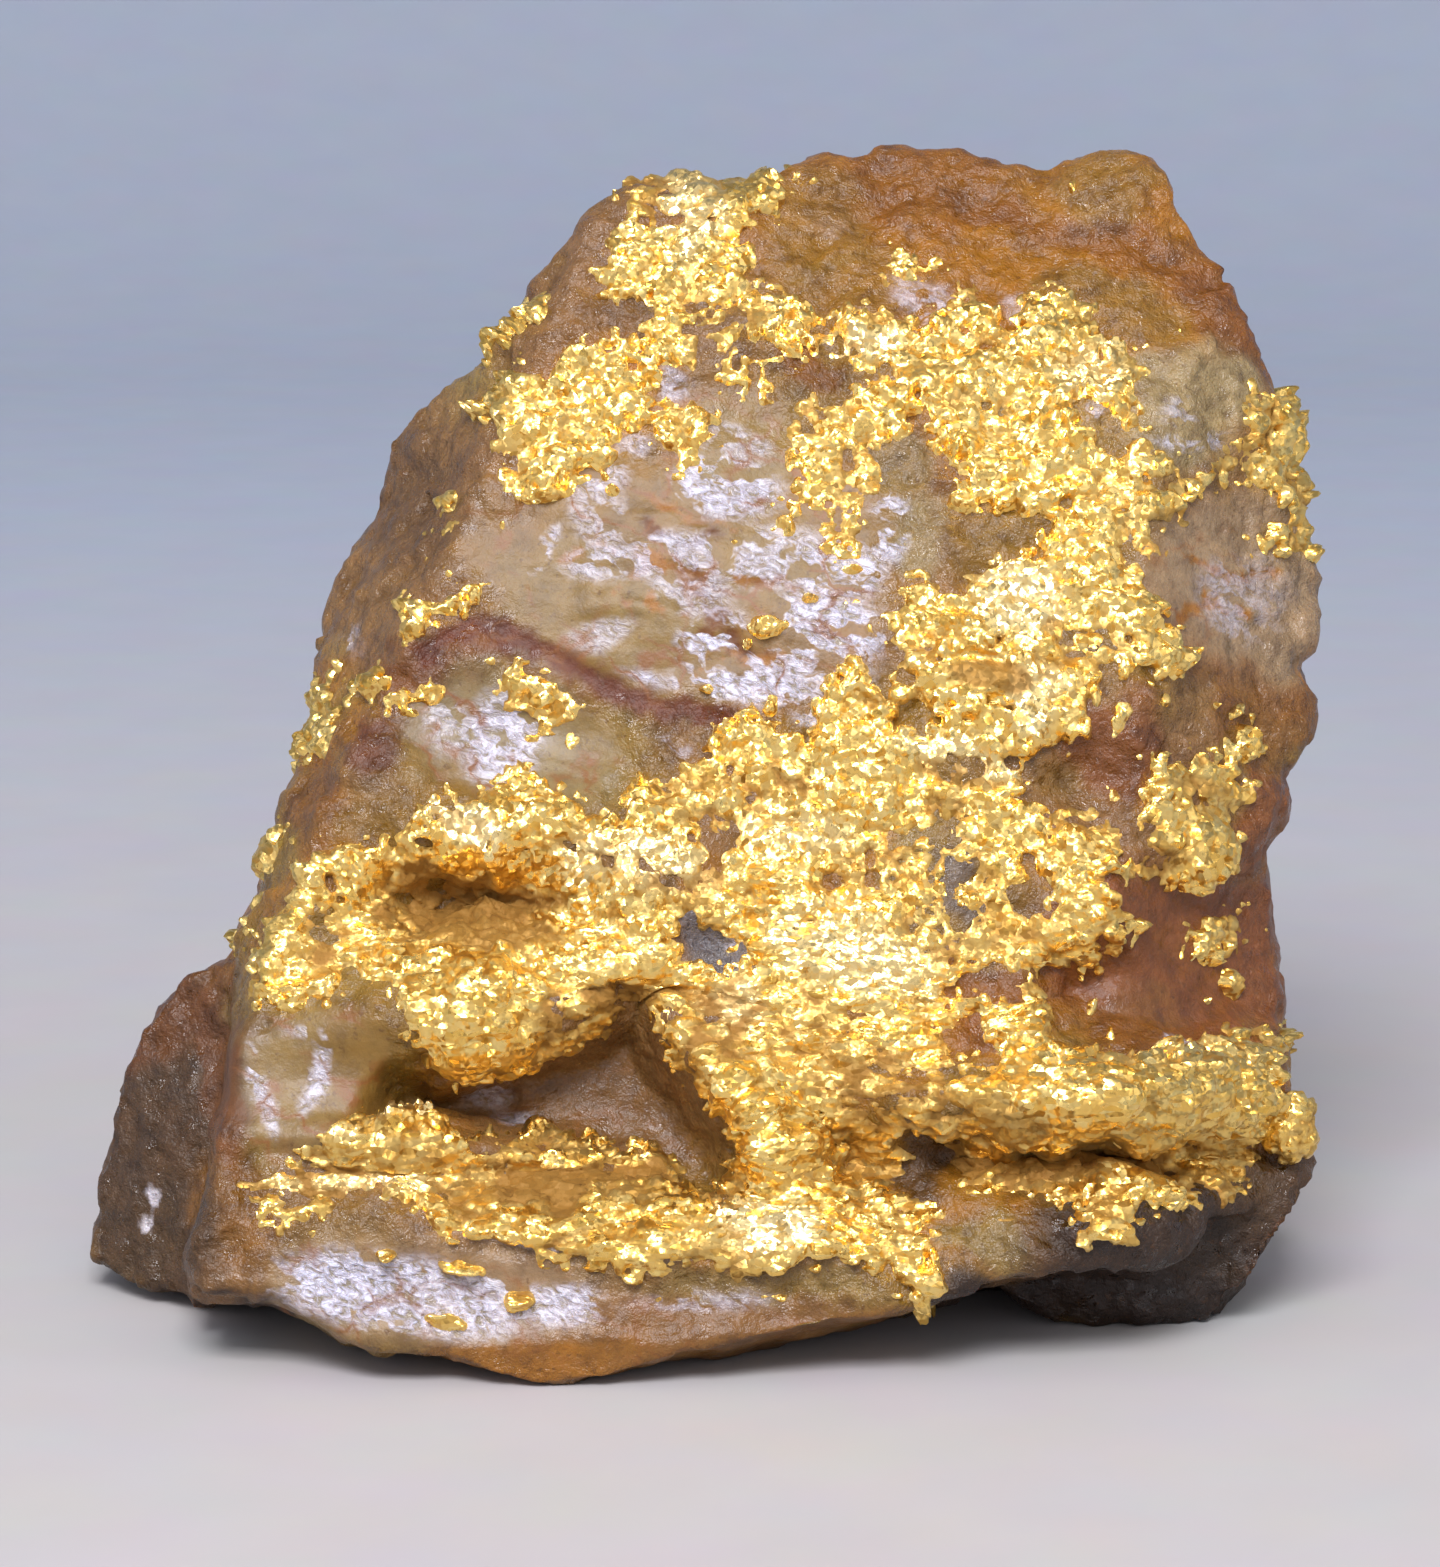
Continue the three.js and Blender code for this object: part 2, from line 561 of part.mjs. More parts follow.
const lump = lumpGeometry();
const nugget = solidOf(nuggetGeometry(NUGGET));
const nuggetRoom = solidOf(
  nuggetGeometry({ ...NUGGET, radii: NUGGET.radii.map((radius) => radius + CRUST_GAP) }),
);
const crustBack = solidOf(raised(lump, CRUST_GAP));
const crustFront = solidOf(raised(lump, CRUST_GAP + CRUST_THICKNESS));
const blocks = REAR_BLOCKS.map((block) => blockSolid(block));
const blockRooms = REAR_BLOCKS.map((block) => blockSolid(block, CRUST_GAP));
const crustShell = [crustBack, nuggetRoom, ...blockRooms].reduce((rest, room) => rest.subtract(room), crustFront);
const rough = blocks.reduce((sum, block) => sum.add(block), solidOf(lump));
const quartz = largestBody(rough.subtract(tableRoom()).subtract(nuggetRoom));

const specimen = new THREE.Group();
specimen.add(named("quartz_matrix", quartz, QUARTZ_FINISH));
for (const { name, depth, outline, holes } of CRUSTS) {
  const sheet = holes.reduce(
    (rest, hole) => rest.subtract(outlinePrism(hole, depth + 1)),
    crustShell.intersect(outlinePrism(outline, depth)),
  );
  specimen.add(named(name, largestBody(sheet), GOLD_FINISH));
}
specimen.add(named(NUGGET.name, nugget, GOLD_FINISH));

specimen.rotation.x = -LEAN_BACK;
specimen.position.set(...BASE_ORIGIN);

export default specimen;
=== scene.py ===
# %% [markdown]
# # A hand specimen of gold ore
#
# The specimen is one broken lump of iron-stained quartz, about 31 mm across, with crusts of granular native
# gold grown over its face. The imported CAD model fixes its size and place. Everything made here lies on that
# model, in metres, and the CAD solids are hidden behind the detailed pieces that stand for them.

# %% Load the fixed frame
import functools
import itertools

import bpy
import numpy as np
from mathutils import Matrix, Vector


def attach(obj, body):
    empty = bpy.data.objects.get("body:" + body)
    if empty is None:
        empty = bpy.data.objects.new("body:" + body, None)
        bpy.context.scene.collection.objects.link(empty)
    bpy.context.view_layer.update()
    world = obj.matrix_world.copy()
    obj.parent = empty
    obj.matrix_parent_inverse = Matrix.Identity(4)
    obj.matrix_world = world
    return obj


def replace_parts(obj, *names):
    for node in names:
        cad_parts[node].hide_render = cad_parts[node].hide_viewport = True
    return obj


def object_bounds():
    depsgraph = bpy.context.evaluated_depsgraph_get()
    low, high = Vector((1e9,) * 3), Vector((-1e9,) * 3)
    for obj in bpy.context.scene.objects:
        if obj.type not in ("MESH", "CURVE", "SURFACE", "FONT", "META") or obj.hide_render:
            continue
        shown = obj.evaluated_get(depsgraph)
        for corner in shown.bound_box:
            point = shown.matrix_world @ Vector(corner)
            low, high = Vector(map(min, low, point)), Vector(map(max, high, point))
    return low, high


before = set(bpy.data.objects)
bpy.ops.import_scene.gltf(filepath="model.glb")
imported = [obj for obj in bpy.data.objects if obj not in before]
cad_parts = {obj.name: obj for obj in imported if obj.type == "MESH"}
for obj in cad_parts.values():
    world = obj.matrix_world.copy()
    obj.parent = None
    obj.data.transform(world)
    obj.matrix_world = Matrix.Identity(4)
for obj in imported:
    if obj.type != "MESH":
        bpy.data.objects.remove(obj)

cad_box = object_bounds()
print("CAD box in metres:", [[round(value, 5) for value in corner] for corner in cad_box])

# %% [markdown]
# ## Two ways of saying where a point is
#
# The lump is shaped in its own face frame, in millimetres: x runs right across the face, y is the depth
# behind it and z runs up it. The face leans back 12 degrees when the lump stands on its base. Places on the
# face are read off a survey grid of forty squares to the millimetre, counted right and down. The outline
# grows slowly with depth, which is what the swell below says.

# %% Frames and units
MM = 0.001
SQUARES_PER_MM = 40
GRID_ZERO = (710, 1320)
LEAN_BACK = np.radians(12)
BASE_ORIGIN = np.array([-0.203, -10.967, 1.45])
SWELL_LENGTH, SWELL_DEPTH = 130, 3
SWELL_CENTRE = (0.25, 13.4)


def millimetres(squares):
    """Places on the survey grid, as x and z on the face in millimetres."""
    squares = np.asarray(squares, float)
    return np.stack([squares[..., 0] - GRID_ZERO[0], GRID_ZERO[1] - squares[..., 1]], -1) / SQUARES_PER_MM


def on_survey(points):
    """The x and z at which points of the face frame are found on the survey grid."""
    swell = 1 + (points[:, 1] - SWELL_DEPTH) / SWELL_LENGTH
    return (SWELL_CENTRE[0] + (points[:, 0] - SWELL_CENTRE[0]) / swell,
            SWELL_CENTRE[1] + (points[:, 2] - SWELL_CENTRE[1]) / swell)


def at_depth(squares, depth):
    """The point of the face frame that a survey square shows at a depth."""
    x, z = np.moveaxis(millimetres(squares), -1, 0)
    swell = 1 + (depth - SWELL_DEPTH) / SWELL_LENGTH
    return np.stack([SWELL_CENTRE[0] + (x - SWELL_CENTRE[0]) * swell, depth + 0 * x,
                     SWELL_CENTRE[1] + (z - SWELL_CENTRE[1]) * swell], -1)


def above_table(points):
    """Points of the face frame in the frame of the table, still in millimetres."""
    sin, cos = np.sin(LEAN_BACK), np.cos(LEAN_BACK)
    x, y, z = points.T
    return np.stack([x, y * cos + z * sin, z * cos - y * sin], -1) + BASE_ORIGIN


print("the survey grid's zero stands at", above_table(np.zeros((1, 3)))[0], "mm")

# %% [markdown]
# ## Camera
#
# A close-up lens looks down 12 degrees at the specimen from 130 mm away, so nearer edges spread a little. It
# is made first, because it says how large a grain has to be to show.

# %% Camera
def put_in_scene(name, data):
    """A new object that holds some data, linked to the scene."""
    made = bpy.data.objects.new(name, data)
    bpy.context.scene.collection.objects.link(made)
    return made


EYE = np.array([[0.25, -127.0, 13.41]])
camera_data = bpy.data.cameras.new("close_up_lens")
camera_data.lens = 120.3
camera_data.sensor_width = 36
camera_data.clip_start = 0.01
camera = put_in_scene("camera", camera_data)
camera.location = above_table(EYE)[0] * MM
camera.rotation_euler = (np.pi / 2 - LEAN_BACK, 0, 0)
bpy.context.scene.camera = camera
print("camera at", tuple(round(value, 4) for value in camera.location))

# %% [markdown]
# ## Numbers that look random but never change
#
# Stone and gold are irregular at every size. A hash of the whole-number cell that a point falls in gives the
# same random values on every run: its large odd numbers send neighbouring cells far apart. Smoothed between
# cells it makes soft lumps, and read cell by cell it makes chips and flakes.

# %% Hash and soft noise
def cell_random(cell, salt):
    """Three values from 0 to 1 for each whole-number cell."""
    seed = np.uint32(salt * 7919)
    for i, spread in enumerate((0x8DA6B343, 0xD8163841, 0xCB1AB31F)):
        seed = seed ^ cell[..., i].astype(np.int64).astype(np.uint32) * np.uint32(spread)
    values = []
    for _ in range(3):
        seed = seed ^ (seed >> np.uint32(15))
        seed = seed * np.uint32(0x2C1B3C6D)
        seed = seed ^ (seed >> np.uint32(12))
        seed = seed * np.uint32(0x297A2D39)
        seed = seed ^ (seed >> np.uint32(15))
        values.append(seed / 2.0**32)
    return np.stack(values, -1)


def soft_noise(points, size, salt, octaves=3):
    """Smooth noise from about -1 to 1 whose widest lumps are `size` millimetres across."""
    total, weight, norm = 0.0, 1.0, 0.0
    for octave in range(octaves):
        place = points / size * 2**octave
        cell = np.floor(place)
        part = place - cell
        part = part * part * part * (part * (part * 6 - 15) + 10)
        for corner in itertools.product((0, 1), repeat=3):
            share = np.prod(np.where(corner, part, 1 - part), -1)
            total = total + weight * share * (cell_random(cell + corner, salt + octave)[..., 0] * 2 - 1)
        norm += weight * 0.6
        weight *= 0.5
    return total / norm


test_places = np.random.default_rng(5).uniform(-9, 9, (2000, 3))
print("soft noise spreads by", soft_noise(test_places, 2, 1).std().round(3))


# %% Cells, chips and easing
def near_cells(points, size, salt):
    """For the 27 cells round each point: the way from the cell's middle in mm, and its random values."""
    place = points / size
    home = np.floor(place)
    for step in itertools.product((-1, 0, 1), repeat=3):
        cell = home + step
        yield (place - cell - cell_random(cell, salt)) * size, cell_random(cell, salt + 1)


def chips(points, size, salt, firmness=40):
    """Height of a surface broken into flat chips of about `size`, as a share of that size."""
    total, weights = 0.0, 0.0
    for offset, values in near_cells(points, size, salt):
        weight = np.exp(-firmness * (offset**2).sum(-1) / size**2) + 1e-30
        tilt = (offset * (values - 0.5)).sum(-1) * 1.6 / size
        total = total + weight * (tilt + (values[..., 0] - 0.5) * 0.25)
        weights = weights + weight
    return total / weights


def ease(low, high, value):
    """0 below low, 1 above high, and smooth between."""
    t = np.clip((value - low) / (high - low), 0, 1)
    return t * t * (3 - 2 * t)


print("chips spread by", chips(test_places, 2, 1).std().round(3))

# %% [markdown]
# ## Outlines
#
# The lump and each crust of gold are drawn as closed outlines on the survey grid. Most of the shaping below
# asks one question: how far is this point from that outline. The distance is worked out once on a fine raster
# and then read off between its points.

# %% Distance to an outline
RASTER = 0.1


def distance_to(path, x, z, closed=True):
    """Distance in millimetres from places to a path, and which of them lie inside it."""
    shape = np.broadcast(x, z).shape
    nearest = np.full(shape, 1e9)
    inside = np.zeros(shape, bool)
    ends = np.roll(path, -1, 0) if closed else path[1:]
    for (ax, az), (bx, bz) in zip(path, ends):
        span = max((bx - ax) ** 2 + (bz - az) ** 2, 1e-9)
        t = np.clip(((x - ax) * (bx - ax) + (z - az) * (bz - az)) / span, 0, 1)
        nearest = np.minimum(nearest, (x - ax - t * (bx - ax)) ** 2 + (z - az - t * (bz - az)) ** 2)
        if closed and az != bz:
            inside ^= ((az > z) != (bz > z)) & (x < (bx - ax) * (z - az) / (bz - az) + ax)
    return np.sqrt(nearest), inside


def outline_reader(outline, holes=(), margin=2.5):
    """A function that gives the distance to an outline with holes, negative inside."""
    paths = [millimetres(path) for path in (outline, *holes)]
    low, high = paths[0].min(0) - margin, paths[0].max(0) + margin
    x, z = (np.arange(low[i], high[i] + RASTER, RASTER) for i in (0, 1))
    raster = None
    for path in paths:
        distance, inside = distance_to(path, x[:, None], z[None, :])
        signed = np.where(inside, -distance, distance)
        raster = signed if raster is None else np.maximum(raster, -signed)

    def read(px, pz):
        u = np.clip((px - x[0]) / RASTER, 0, len(x) - 1.001)
        v = np.clip((pz - z[0]) / RASTER, 0, len(z) - 1.001)
        i, j = u.astype(int), v.astype(int)
        s, t = u - i, v - j
        beyond = np.hypot(px - np.clip(px, x[0], x[-1]), pz - np.clip(pz, z[0], z[-1]))
        return beyond + (raster[i, j] * (1 - s) * (1 - t) + raster[i + 1, j] * s * (1 - t)
                         + raster[i, j + 1] * (1 - s) * t + raster[i + 1, j + 1] * s * t)

    return read


test_square = np.array([(0, 0), (1, 0), (1, 1), (0, 1)])
print("a square's middle is", distance_to(test_square, *np.array([[0.5], [0.5]]))[0][0], "sides from its rim")

# %% Outline of the lump
LUMP_OUTLINE = [
    [206, 1290], [196, 1258], [210, 1218], [219, 1172], [226, 1134], [235, 1090], [236, 1040], [240, 990],
    [248, 940], [268, 900], [284, 850], [298, 780], [318, 722], [328, 650], [345, 560], [376, 500],
    [373, 478], [398, 440], [440, 410], [478, 376], [515, 326], [548, 275], [578, 240], [602, 210],
    [630, 192], [682, 185], [720, 195], [775, 188], [810, 147], [848, 148], [875, 127], [920, 132],
    [962, 128], [1005, 152], [1045, 152], [1090, 129], [1130, 131], [1150, 150], [1172, 185], [1200, 248],
    [1222, 272], [1238, 320], [1258, 382], [1272, 420], [1288, 470], [1296, 530], [1318, 580], [1308, 650],
    [1290, 665], [1308, 700], [1303, 735], [1276, 775], [1274, 825], [1256, 845], [1264, 900], [1268, 960],
    [1272, 1010], [1280, 1060], [1282, 1110], [1278, 1165], [1240, 1204], [1200, 1212], [1178, 1240],
    [1136, 1264], [1065, 1262], [1006, 1270], [940, 1292], [865, 1317], [800, 1340], [720, 1350], [640, 1358],
    [580, 1366], [520, 1369], [440, 1350], [365, 1339], [312, 1308], [276, 1292],
]
lump_outline = outline_reader(LUMP_OUTLINE, margin=4)
print("the frame's middle is", lump_outline(*np.array(SWELL_CENTRE)[:, None])[0].round(2), "mm from the rim")

# %% [markdown]
# ## The form of the lump
#
# A broken stone is what is left inside a set of fracture planes. Each plane gives a distance, negative on the
# inside, and the largest of them is the distance to the whole stone. Rounded swellings, dents and two steps
# are added to the depth of the face, and two blocks that stand out behind are joined on. Nearly all the
# values are the ones that shaped the CAD solid, so the two surfaces agree closely. A few low swellings are
# added to them here.

# %% Planes, steps and swellings of the face
FACE_PLANES = [  # x0, z0, depth there, rise to the right, rise upwards
    (0, -1, 0.4, 0.0, 0.25),
    (-7.75, 16.5, 4.8, -1.75, 1.0),
    (11.2, 18.0, 5.3, 0.9, 0.2),
    (6.0, 24.4, 6.9, 0.12, 0.72),
]
HOLLOW_EDGE = [
    [400, 1085], [500, 1068], [580, 1040], [640, 1010], [672, 1060], [722, 1115], [742, 1150], [715, 1192],
    [600, 1160], [470, 1140], [380, 1120],
]
RED_FACE_EDGE = [
    [1140, 880], [1300, 860], [1310, 1030], [1220, 1025], [1190, 1045], [1100, 1050], [1040, 1000],
    [1050, 965], [1125, 940],
]
SETBACKS = [(2.4, 0.9, outline_reader(HOLLOW_EDGE)), (1.3, 0.9, outline_reader(RED_FACE_EDGE))]
SWELLINGS = [  # square, half width along and across in mm, turn in degrees, rise towards the viewer
    ([480, 906], 2.7, 1.15, 4, -2.0), ([520, 826], 3.2, 0.8, 0, 0.6), ([620, 880], 1.9, 1.3, -10, 0.8),
    ([430, 1010], 3.2, 0.9, 8, 0.7), ([640, 990], 1.3, 0.5, 0, -0.7), ([725, 1100], 3.4, 0.9, -48, 0.9),
    ([850, 1150], 1.8, 0.6, -35, -0.8), ([450, 1138], 4.0, 0.5, -2, 0.7), ([570, 1182], 3.4, 0.6, -4, -1.0),
    ([600, 1240], 7.5, 0.9, -3, 0.6), ([1100, 1082], 4.8, 0.9, 2, 1.3), ([1060, 1160], 3.8, 0.75, 0, -1.5),
    ([1090, 1098], 4.6, 0.5, 1, 0.5), ([1060, 1152], 3.6, 0.5, 1, -0.7), ([1110, 1228], 1.4, 0.5, 0, 0.5),
    ([960, 640], 4.4, 3.6, 0, 0.6), ([708, 942], 0.9, 0.5, -15, -0.5), ([1075, 785], 1.6, 0.8, 0, -0.7),
    ([700, 560], 3.4, 2.4, 0, 0.35), ([540, 740], 3.0, 1.2, -10, -0.6), ([1140, 165], 1.9, 1.5, 20, 1.3),
    ([700, 190], 1.8, 1.0, 0, 0.6),
]
print("the face has", len(FACE_PLANES), "planes,", len(SETBACKS), "steps and", len(SWELLINGS), "swellings")


# %% Depth of the face
def rounded_max(a, b, k=0.5):
    """The larger of two distances, with the edge between them rounded over a width k."""
    return np.maximum(a, b) + np.maximum(k - np.abs(a - b), 0) ** 2 / (4 * k)


def in_ellipse(x, z, square, along, across, turn):
    """How far out in an ellipse a place lies: 0 in the middle, 1 on its edge."""
    x0, z0 = millimetres(square)
    sin, cos = np.sin(np.radians(turn)), np.cos(np.radians(turn))
    return np.hypot(((x - x0) * cos + (z - z0) * sin) / along, ((z - z0) * cos - (x - x0) * sin) / across)


def face_depth(x, z):
    """How far behind the front of the frame the face lies, in millimetres."""
    depth = None
    for x0, z0, at, right, up in FACE_PLANES:
        plane = at + right * (x - x0) + up * (z - z0)
        depth = plane if depth is None else rounded_max(depth, plane)
    for back, edge, outline in SETBACKS:
        depth = depth + back * (1 - ease(-edge, edge, outline(x, z)))
    for square, along, across, turn, rise in SWELLINGS:
        depth = depth - rise * np.exp(-in_ellipse(x, z, square, along, across, turn) ** 2)
    return depth


print("the face lies", face_depth(np.array([0.0]), np.array([10.0]))[0].round(2), "mm deep at its middle")

# %% The hidden sides, the underside and the two rear blocks
CORE = np.array([0.6, 8.6, 13.2])
REAR_PLANES = [  # direction away from the core, and distance from it
    (0.05, 1, 0.05, 8.2), (0.75, 0.75, 0.1, 13.4), (-0.8, 0.62, 0.15, 13.6), (0.15, 0.75, 0.7, 16.3),
    (-0.55, 0.5, 0.75, 14.6), (0.35, 0.85, -0.45, 11.8), (-0.35, 0.9, -0.4, 11.6), (0.62, 0.35, 0.75, 20.0),
]
UNDERSIDES = [  # height over the table at the frame's zero, rise to the right, rise to the back
    (-0.4, 0, 0), (1.25, 0.207, -0.42), (-1.2, -0.303, -0.42)]
TAPER_FROM, TAPER = 9.5, 0.3  # behind this depth in mm the sides draw in by this much a millimetre
# rounding the edges takes this much off the outline, so it is drawn larger to begin with
RIM_ROOM = 0.12
LEFT_BLOCK = [  # survey square and depth of each corner
    (95, 1252, 8.2), (104, 1188, 8.0), (118, 1128, 7.8), (130, 1066, 7.6), (158, 1012, 7.4), (190, 976, 7.2),
    (232, 962, 6.8), (320, 962, 5.6), (320, 1270, 5.0), (206, 1290, 6.0), (136, 1280, 7.4), (112, 1236, 11.2),
    (136, 1090, 11.8), (180, 1000, 11.6), (250, 966, 11.6), (420, 962, 13.0), (420, 1250, 12.0),
    (170, 1262, 11.2),
]
RIGHT_FOOT = [
    (1000, 1284, 5.2), (1060, 1320, 5.6), (1204, 1322, 5.8), (1214, 1298, 5.2), (1252, 1270, 5.0),
    (1280, 1226, 5.0), (1300, 1192, 5.2), (1312, 1160, 6.0), (1270, 1110, 5.2), (1090, 1160, 4.4),
    (1000, 1200, 5.4), (1186, 1300, 10.0), (1262, 1220, 10.6), (1290, 1150, 11.0), (1020, 1270, 11.0),
    (1020, 1120, 12.0),
]


def hull_planes(corners):
    """The outer planes of a set of corners, as normals and distances."""
    corners = np.array(corners, float)
    points = at_depth(corners[:, :2], corners[:, 2])
    middle = points.mean(0)
    planes = []
    for a, b, c in itertools.combinations(points, 3):
        normal = np.cross(b - a, c - a)
        if np.linalg.norm(normal) < 1e-6:
            continue
        normal /= np.linalg.norm(normal)
        normal *= -1 if normal @ (middle - a) > 0 else 1
        if ((points - a) @ normal).max() < 1e-6:
            planes.append((*normal, normal @ a))
    return np.unique(np.round(planes, 6), axis=0)


BLOCK_PLANES = [hull_planes(LEFT_BLOCK), hull_planes(RIGHT_FOOT)]
print("the blocks have", [len(planes) for planes in BLOCK_PLANES], "outer planes")


# %% The whole lump as one field
def lump_field(points):
    """About the distance from points to the surface of the lump, negative inside."""
    x, z = on_survey(points)
    rim = lump_outline(x, z) - RIM_ROOM + TAPER * np.maximum(0, points[:, 1] - TAPER_FROM)
    field = rounded_max(face_depth(x, z) - points[:, 1], rim)
    from_core = points - CORE
    for *normal, distance in REAR_PLANES:
        field = rounded_max(field, from_core @ (np.array(normal) / np.linalg.norm(normal)) - distance)
    table = above_table(points)
    for at, right, back in UNDERSIDES:
        field = np.maximum(field, at + right * (table[:, 0] - BASE_ORIGIN[0])
                           + back * (table[:, 1] - BASE_ORIGIN[1]) - table[:, 2])
    for planes in BLOCK_PLANES:
        block = (points @ planes[:, :3].T - planes[:, 3]).max(-1)
        field = -rounded_max(-field, -block, 0.35)
    return np.maximum(field, -table[:, 2])


print("at the core the field is", lump_field(CORE[None])[0].round(2), "mm")

# %% [markdown]
# ## From a distance to a mesh
#
# The distance is sampled on a regular grid. Every grid cell that the surface passes through gets one vertex,
# and the four cells round each grid edge that it crosses share a quad. That gives an even, closed skin of
# quads on any shape, with none of the pinched poles of a deformed sphere.

# %% A skin of quads round the field
CELL = 0.275
GRID_LOW, GRID_HIGH = (-17.0, -2.0, -2.0), (17.4, 19.0, 31.0)


def skin(low, high, cell):
    """Vertices and quads of the surface where lump_field is zero."""
    axes = [np.arange(low[i], high[i], cell) for i in range(3)]
    shape = tuple(len(axis) for axis in axes)
    places = np.stack(np.meshgrid(*axes, indexing="ij"), -1).reshape(-1, 3)
    field = np.concatenate([lump_field(part) for part in np.array_split(places, 12)]).reshape(shape)
    inside = field < 0
    total = np.zeros(tuple(n - 1 for n in shape) + (3,))
    count = np.zeros(total.shape[:3])
    cells = [slice(0, n - 1) for n in shape]
    for axis in range(3):
        for across in itertools.product((0, 1), repeat=2):
            start = list(across)
            start.insert(axis, 0)
            end = list(across)
            end.insert(axis, 1)
            a = field[tuple(slice(s, s + n - 1) for s, n in zip(start, shape))]
            b = field[tuple(slice(s, s + n - 1) for s, n in zip(end, shape))]
            crossed = (a < 0) != (b < 0)
            t = np.where(crossed, a / np.where(crossed, a - b, 1), 0)
            for i in range(3):
                total[..., i] += np.where(crossed, t if i == axis else start[i], 0)
            count += crossed
    used = count > 0
    index = np.full(count.shape, -1)
    index[used] = np.arange(used.sum())
    corners = np.argwhere(used) + total[used] / count[used][:, None]
    vertices = np.array(low) + corners * cell
    quads = []
    for axis in range(3):
        u, v = (axis + 1) % 3, (axis + 2) % 3
        near = inside[tuple(slice(0, -1) if i == axis else slice(1, -1) for i in range(3))]
        far = inside[tuple(slice(1, None) if i == axis else slice(1, -1) for i in range(3))]
        place = np.argwhere(near != far)
        place[:, u] += 1
        place[:, v] += 1
        ring = []
        for du, dv in ((-1, -1), (0, -1), (0, 0), (-1, 0)):
            at = place.copy()
            at[:, u] += du
            at[:, v] += dv
            ring.append(index[tuple(at.T)])
        ring = np.stack(ring, -1)
        facing = near[near != far]
        quads.append(np.where(facing[:, None], ring, ring[:, ::-1]))
    return vertices, np.concatenate(quads)


coarse, coarse_quads = skin(GRID_LOW, GRID_HIGH, CELL)
print("coarse skin:", len(coarse), "vertices,", len(coarse_quads), "quads")

# %% Settle the skin on the surface
MOST_STEP = 0.15  # a point moves no further than this at once, in mm


def slope(points, step=0.05):
    """The direction in which the field grows: the outward normal of the surface."""
    gradient = np.stack([(lump_field(points + offset) - lump_field(points - offset)) / (2 * step)
                         for offset in np.eye(3) * step], -1)
    return gradient / np.maximum(np.linalg.norm(gradient, axis=1), 1e-6)[:, None]


def settle(points, rounds=2):
    """Points carried onto the surface."""
    for _ in range(rounds):
        points = points - slope(points) * np.clip(lump_field(points), -MOST_STEP, MOST_STEP)[:, None]
    return points


coarse = settle(coarse)
still_off = np.abs(lump_field(coarse))
print("19 in 20 of its points are now within", np.quantile(still_off, 0.95).round(4), "mm of the surface")

# %% [markdown]
# ## Finer skin where it is looked at
#
# A quad is cut in four by adding the middles of its edges and its own middle. Only the face is refined, and
# the quads beside it take the new points on their edges, so no gap opens. The gold is refined twice, because
# its flakes are the finest thing on the specimen.

# %% Cut quads in four
def quarter(vertices, quads):
    """Every quad cut in four: the vertices, the quads, and the edge that each new edge point halves."""
    edges = np.sort(np.stack([quads, np.roll(quads, -1, 1)], -1).reshape(-1, 2), 1)
    unique, which = np.unique(edges, axis=0, return_inverse=True)
    middles = (vertices[unique[:, 0]] + vertices[unique[:, 1]]) / 2
    centres = vertices[quads].mean(1)
    edge_at = len(vertices) + which.reshape(-1, 4)
    centre_at = len(vertices) + len(unique) + np.arange(len(quads))
    parts = [np.stack([quads[:, i], edge_at[:, i], centre_at, edge_at[:, i - 1]], -1) for i in range(4)]
    return np.concatenate([vertices, middles, centres]), np.concatenate(parts), unique


def only_used(vertices, faces):
    """The vertices that some face uses, the faces renumbered to match, and the old number of each vertex."""
    used, renumbered = np.unique(faces, return_inverse=True)
    return vertices[used], renumbered.reshape(faces.shape), used


def refine_some(vertices, quads, chosen):
    """Chosen quads cut in four. The others keep their shape, and take in the new points on their edges."""
    fine_vertices, fine_quads, halved = quarter(vertices, quads[chosen])
    point_on = {(a, b): len(vertices) + i for i, (a, b) in enumerate(halved.tolist())}
    faces = fine_quads.tolist()
    for quad in quads[~chosen].tolist():
        ring = []
        for a, b in zip(quad, quad[1:] + quad[:1]):
            ring.append(a)
            middle = point_on.get((min(a, b), max(a, b)))
            if middle is not None:
                ring.append(middle)
        faces.append(ring)
    return fine_vertices, faces


print("cut in four, the coarse skin would have", len(quarter(coarse, coarse_quads)[1]), "quads")

# %% [markdown]
# ## Where the gold lies
#
# Gold grew along seams in the quartz and was laid bare when the stone broke along them, so it covers the face
# in patches with ragged, leafy edges. The outlines below are the patches. Each has its own CAD solid, except
# the smallest flecks, which are too small to be solids and are given as ellipses.

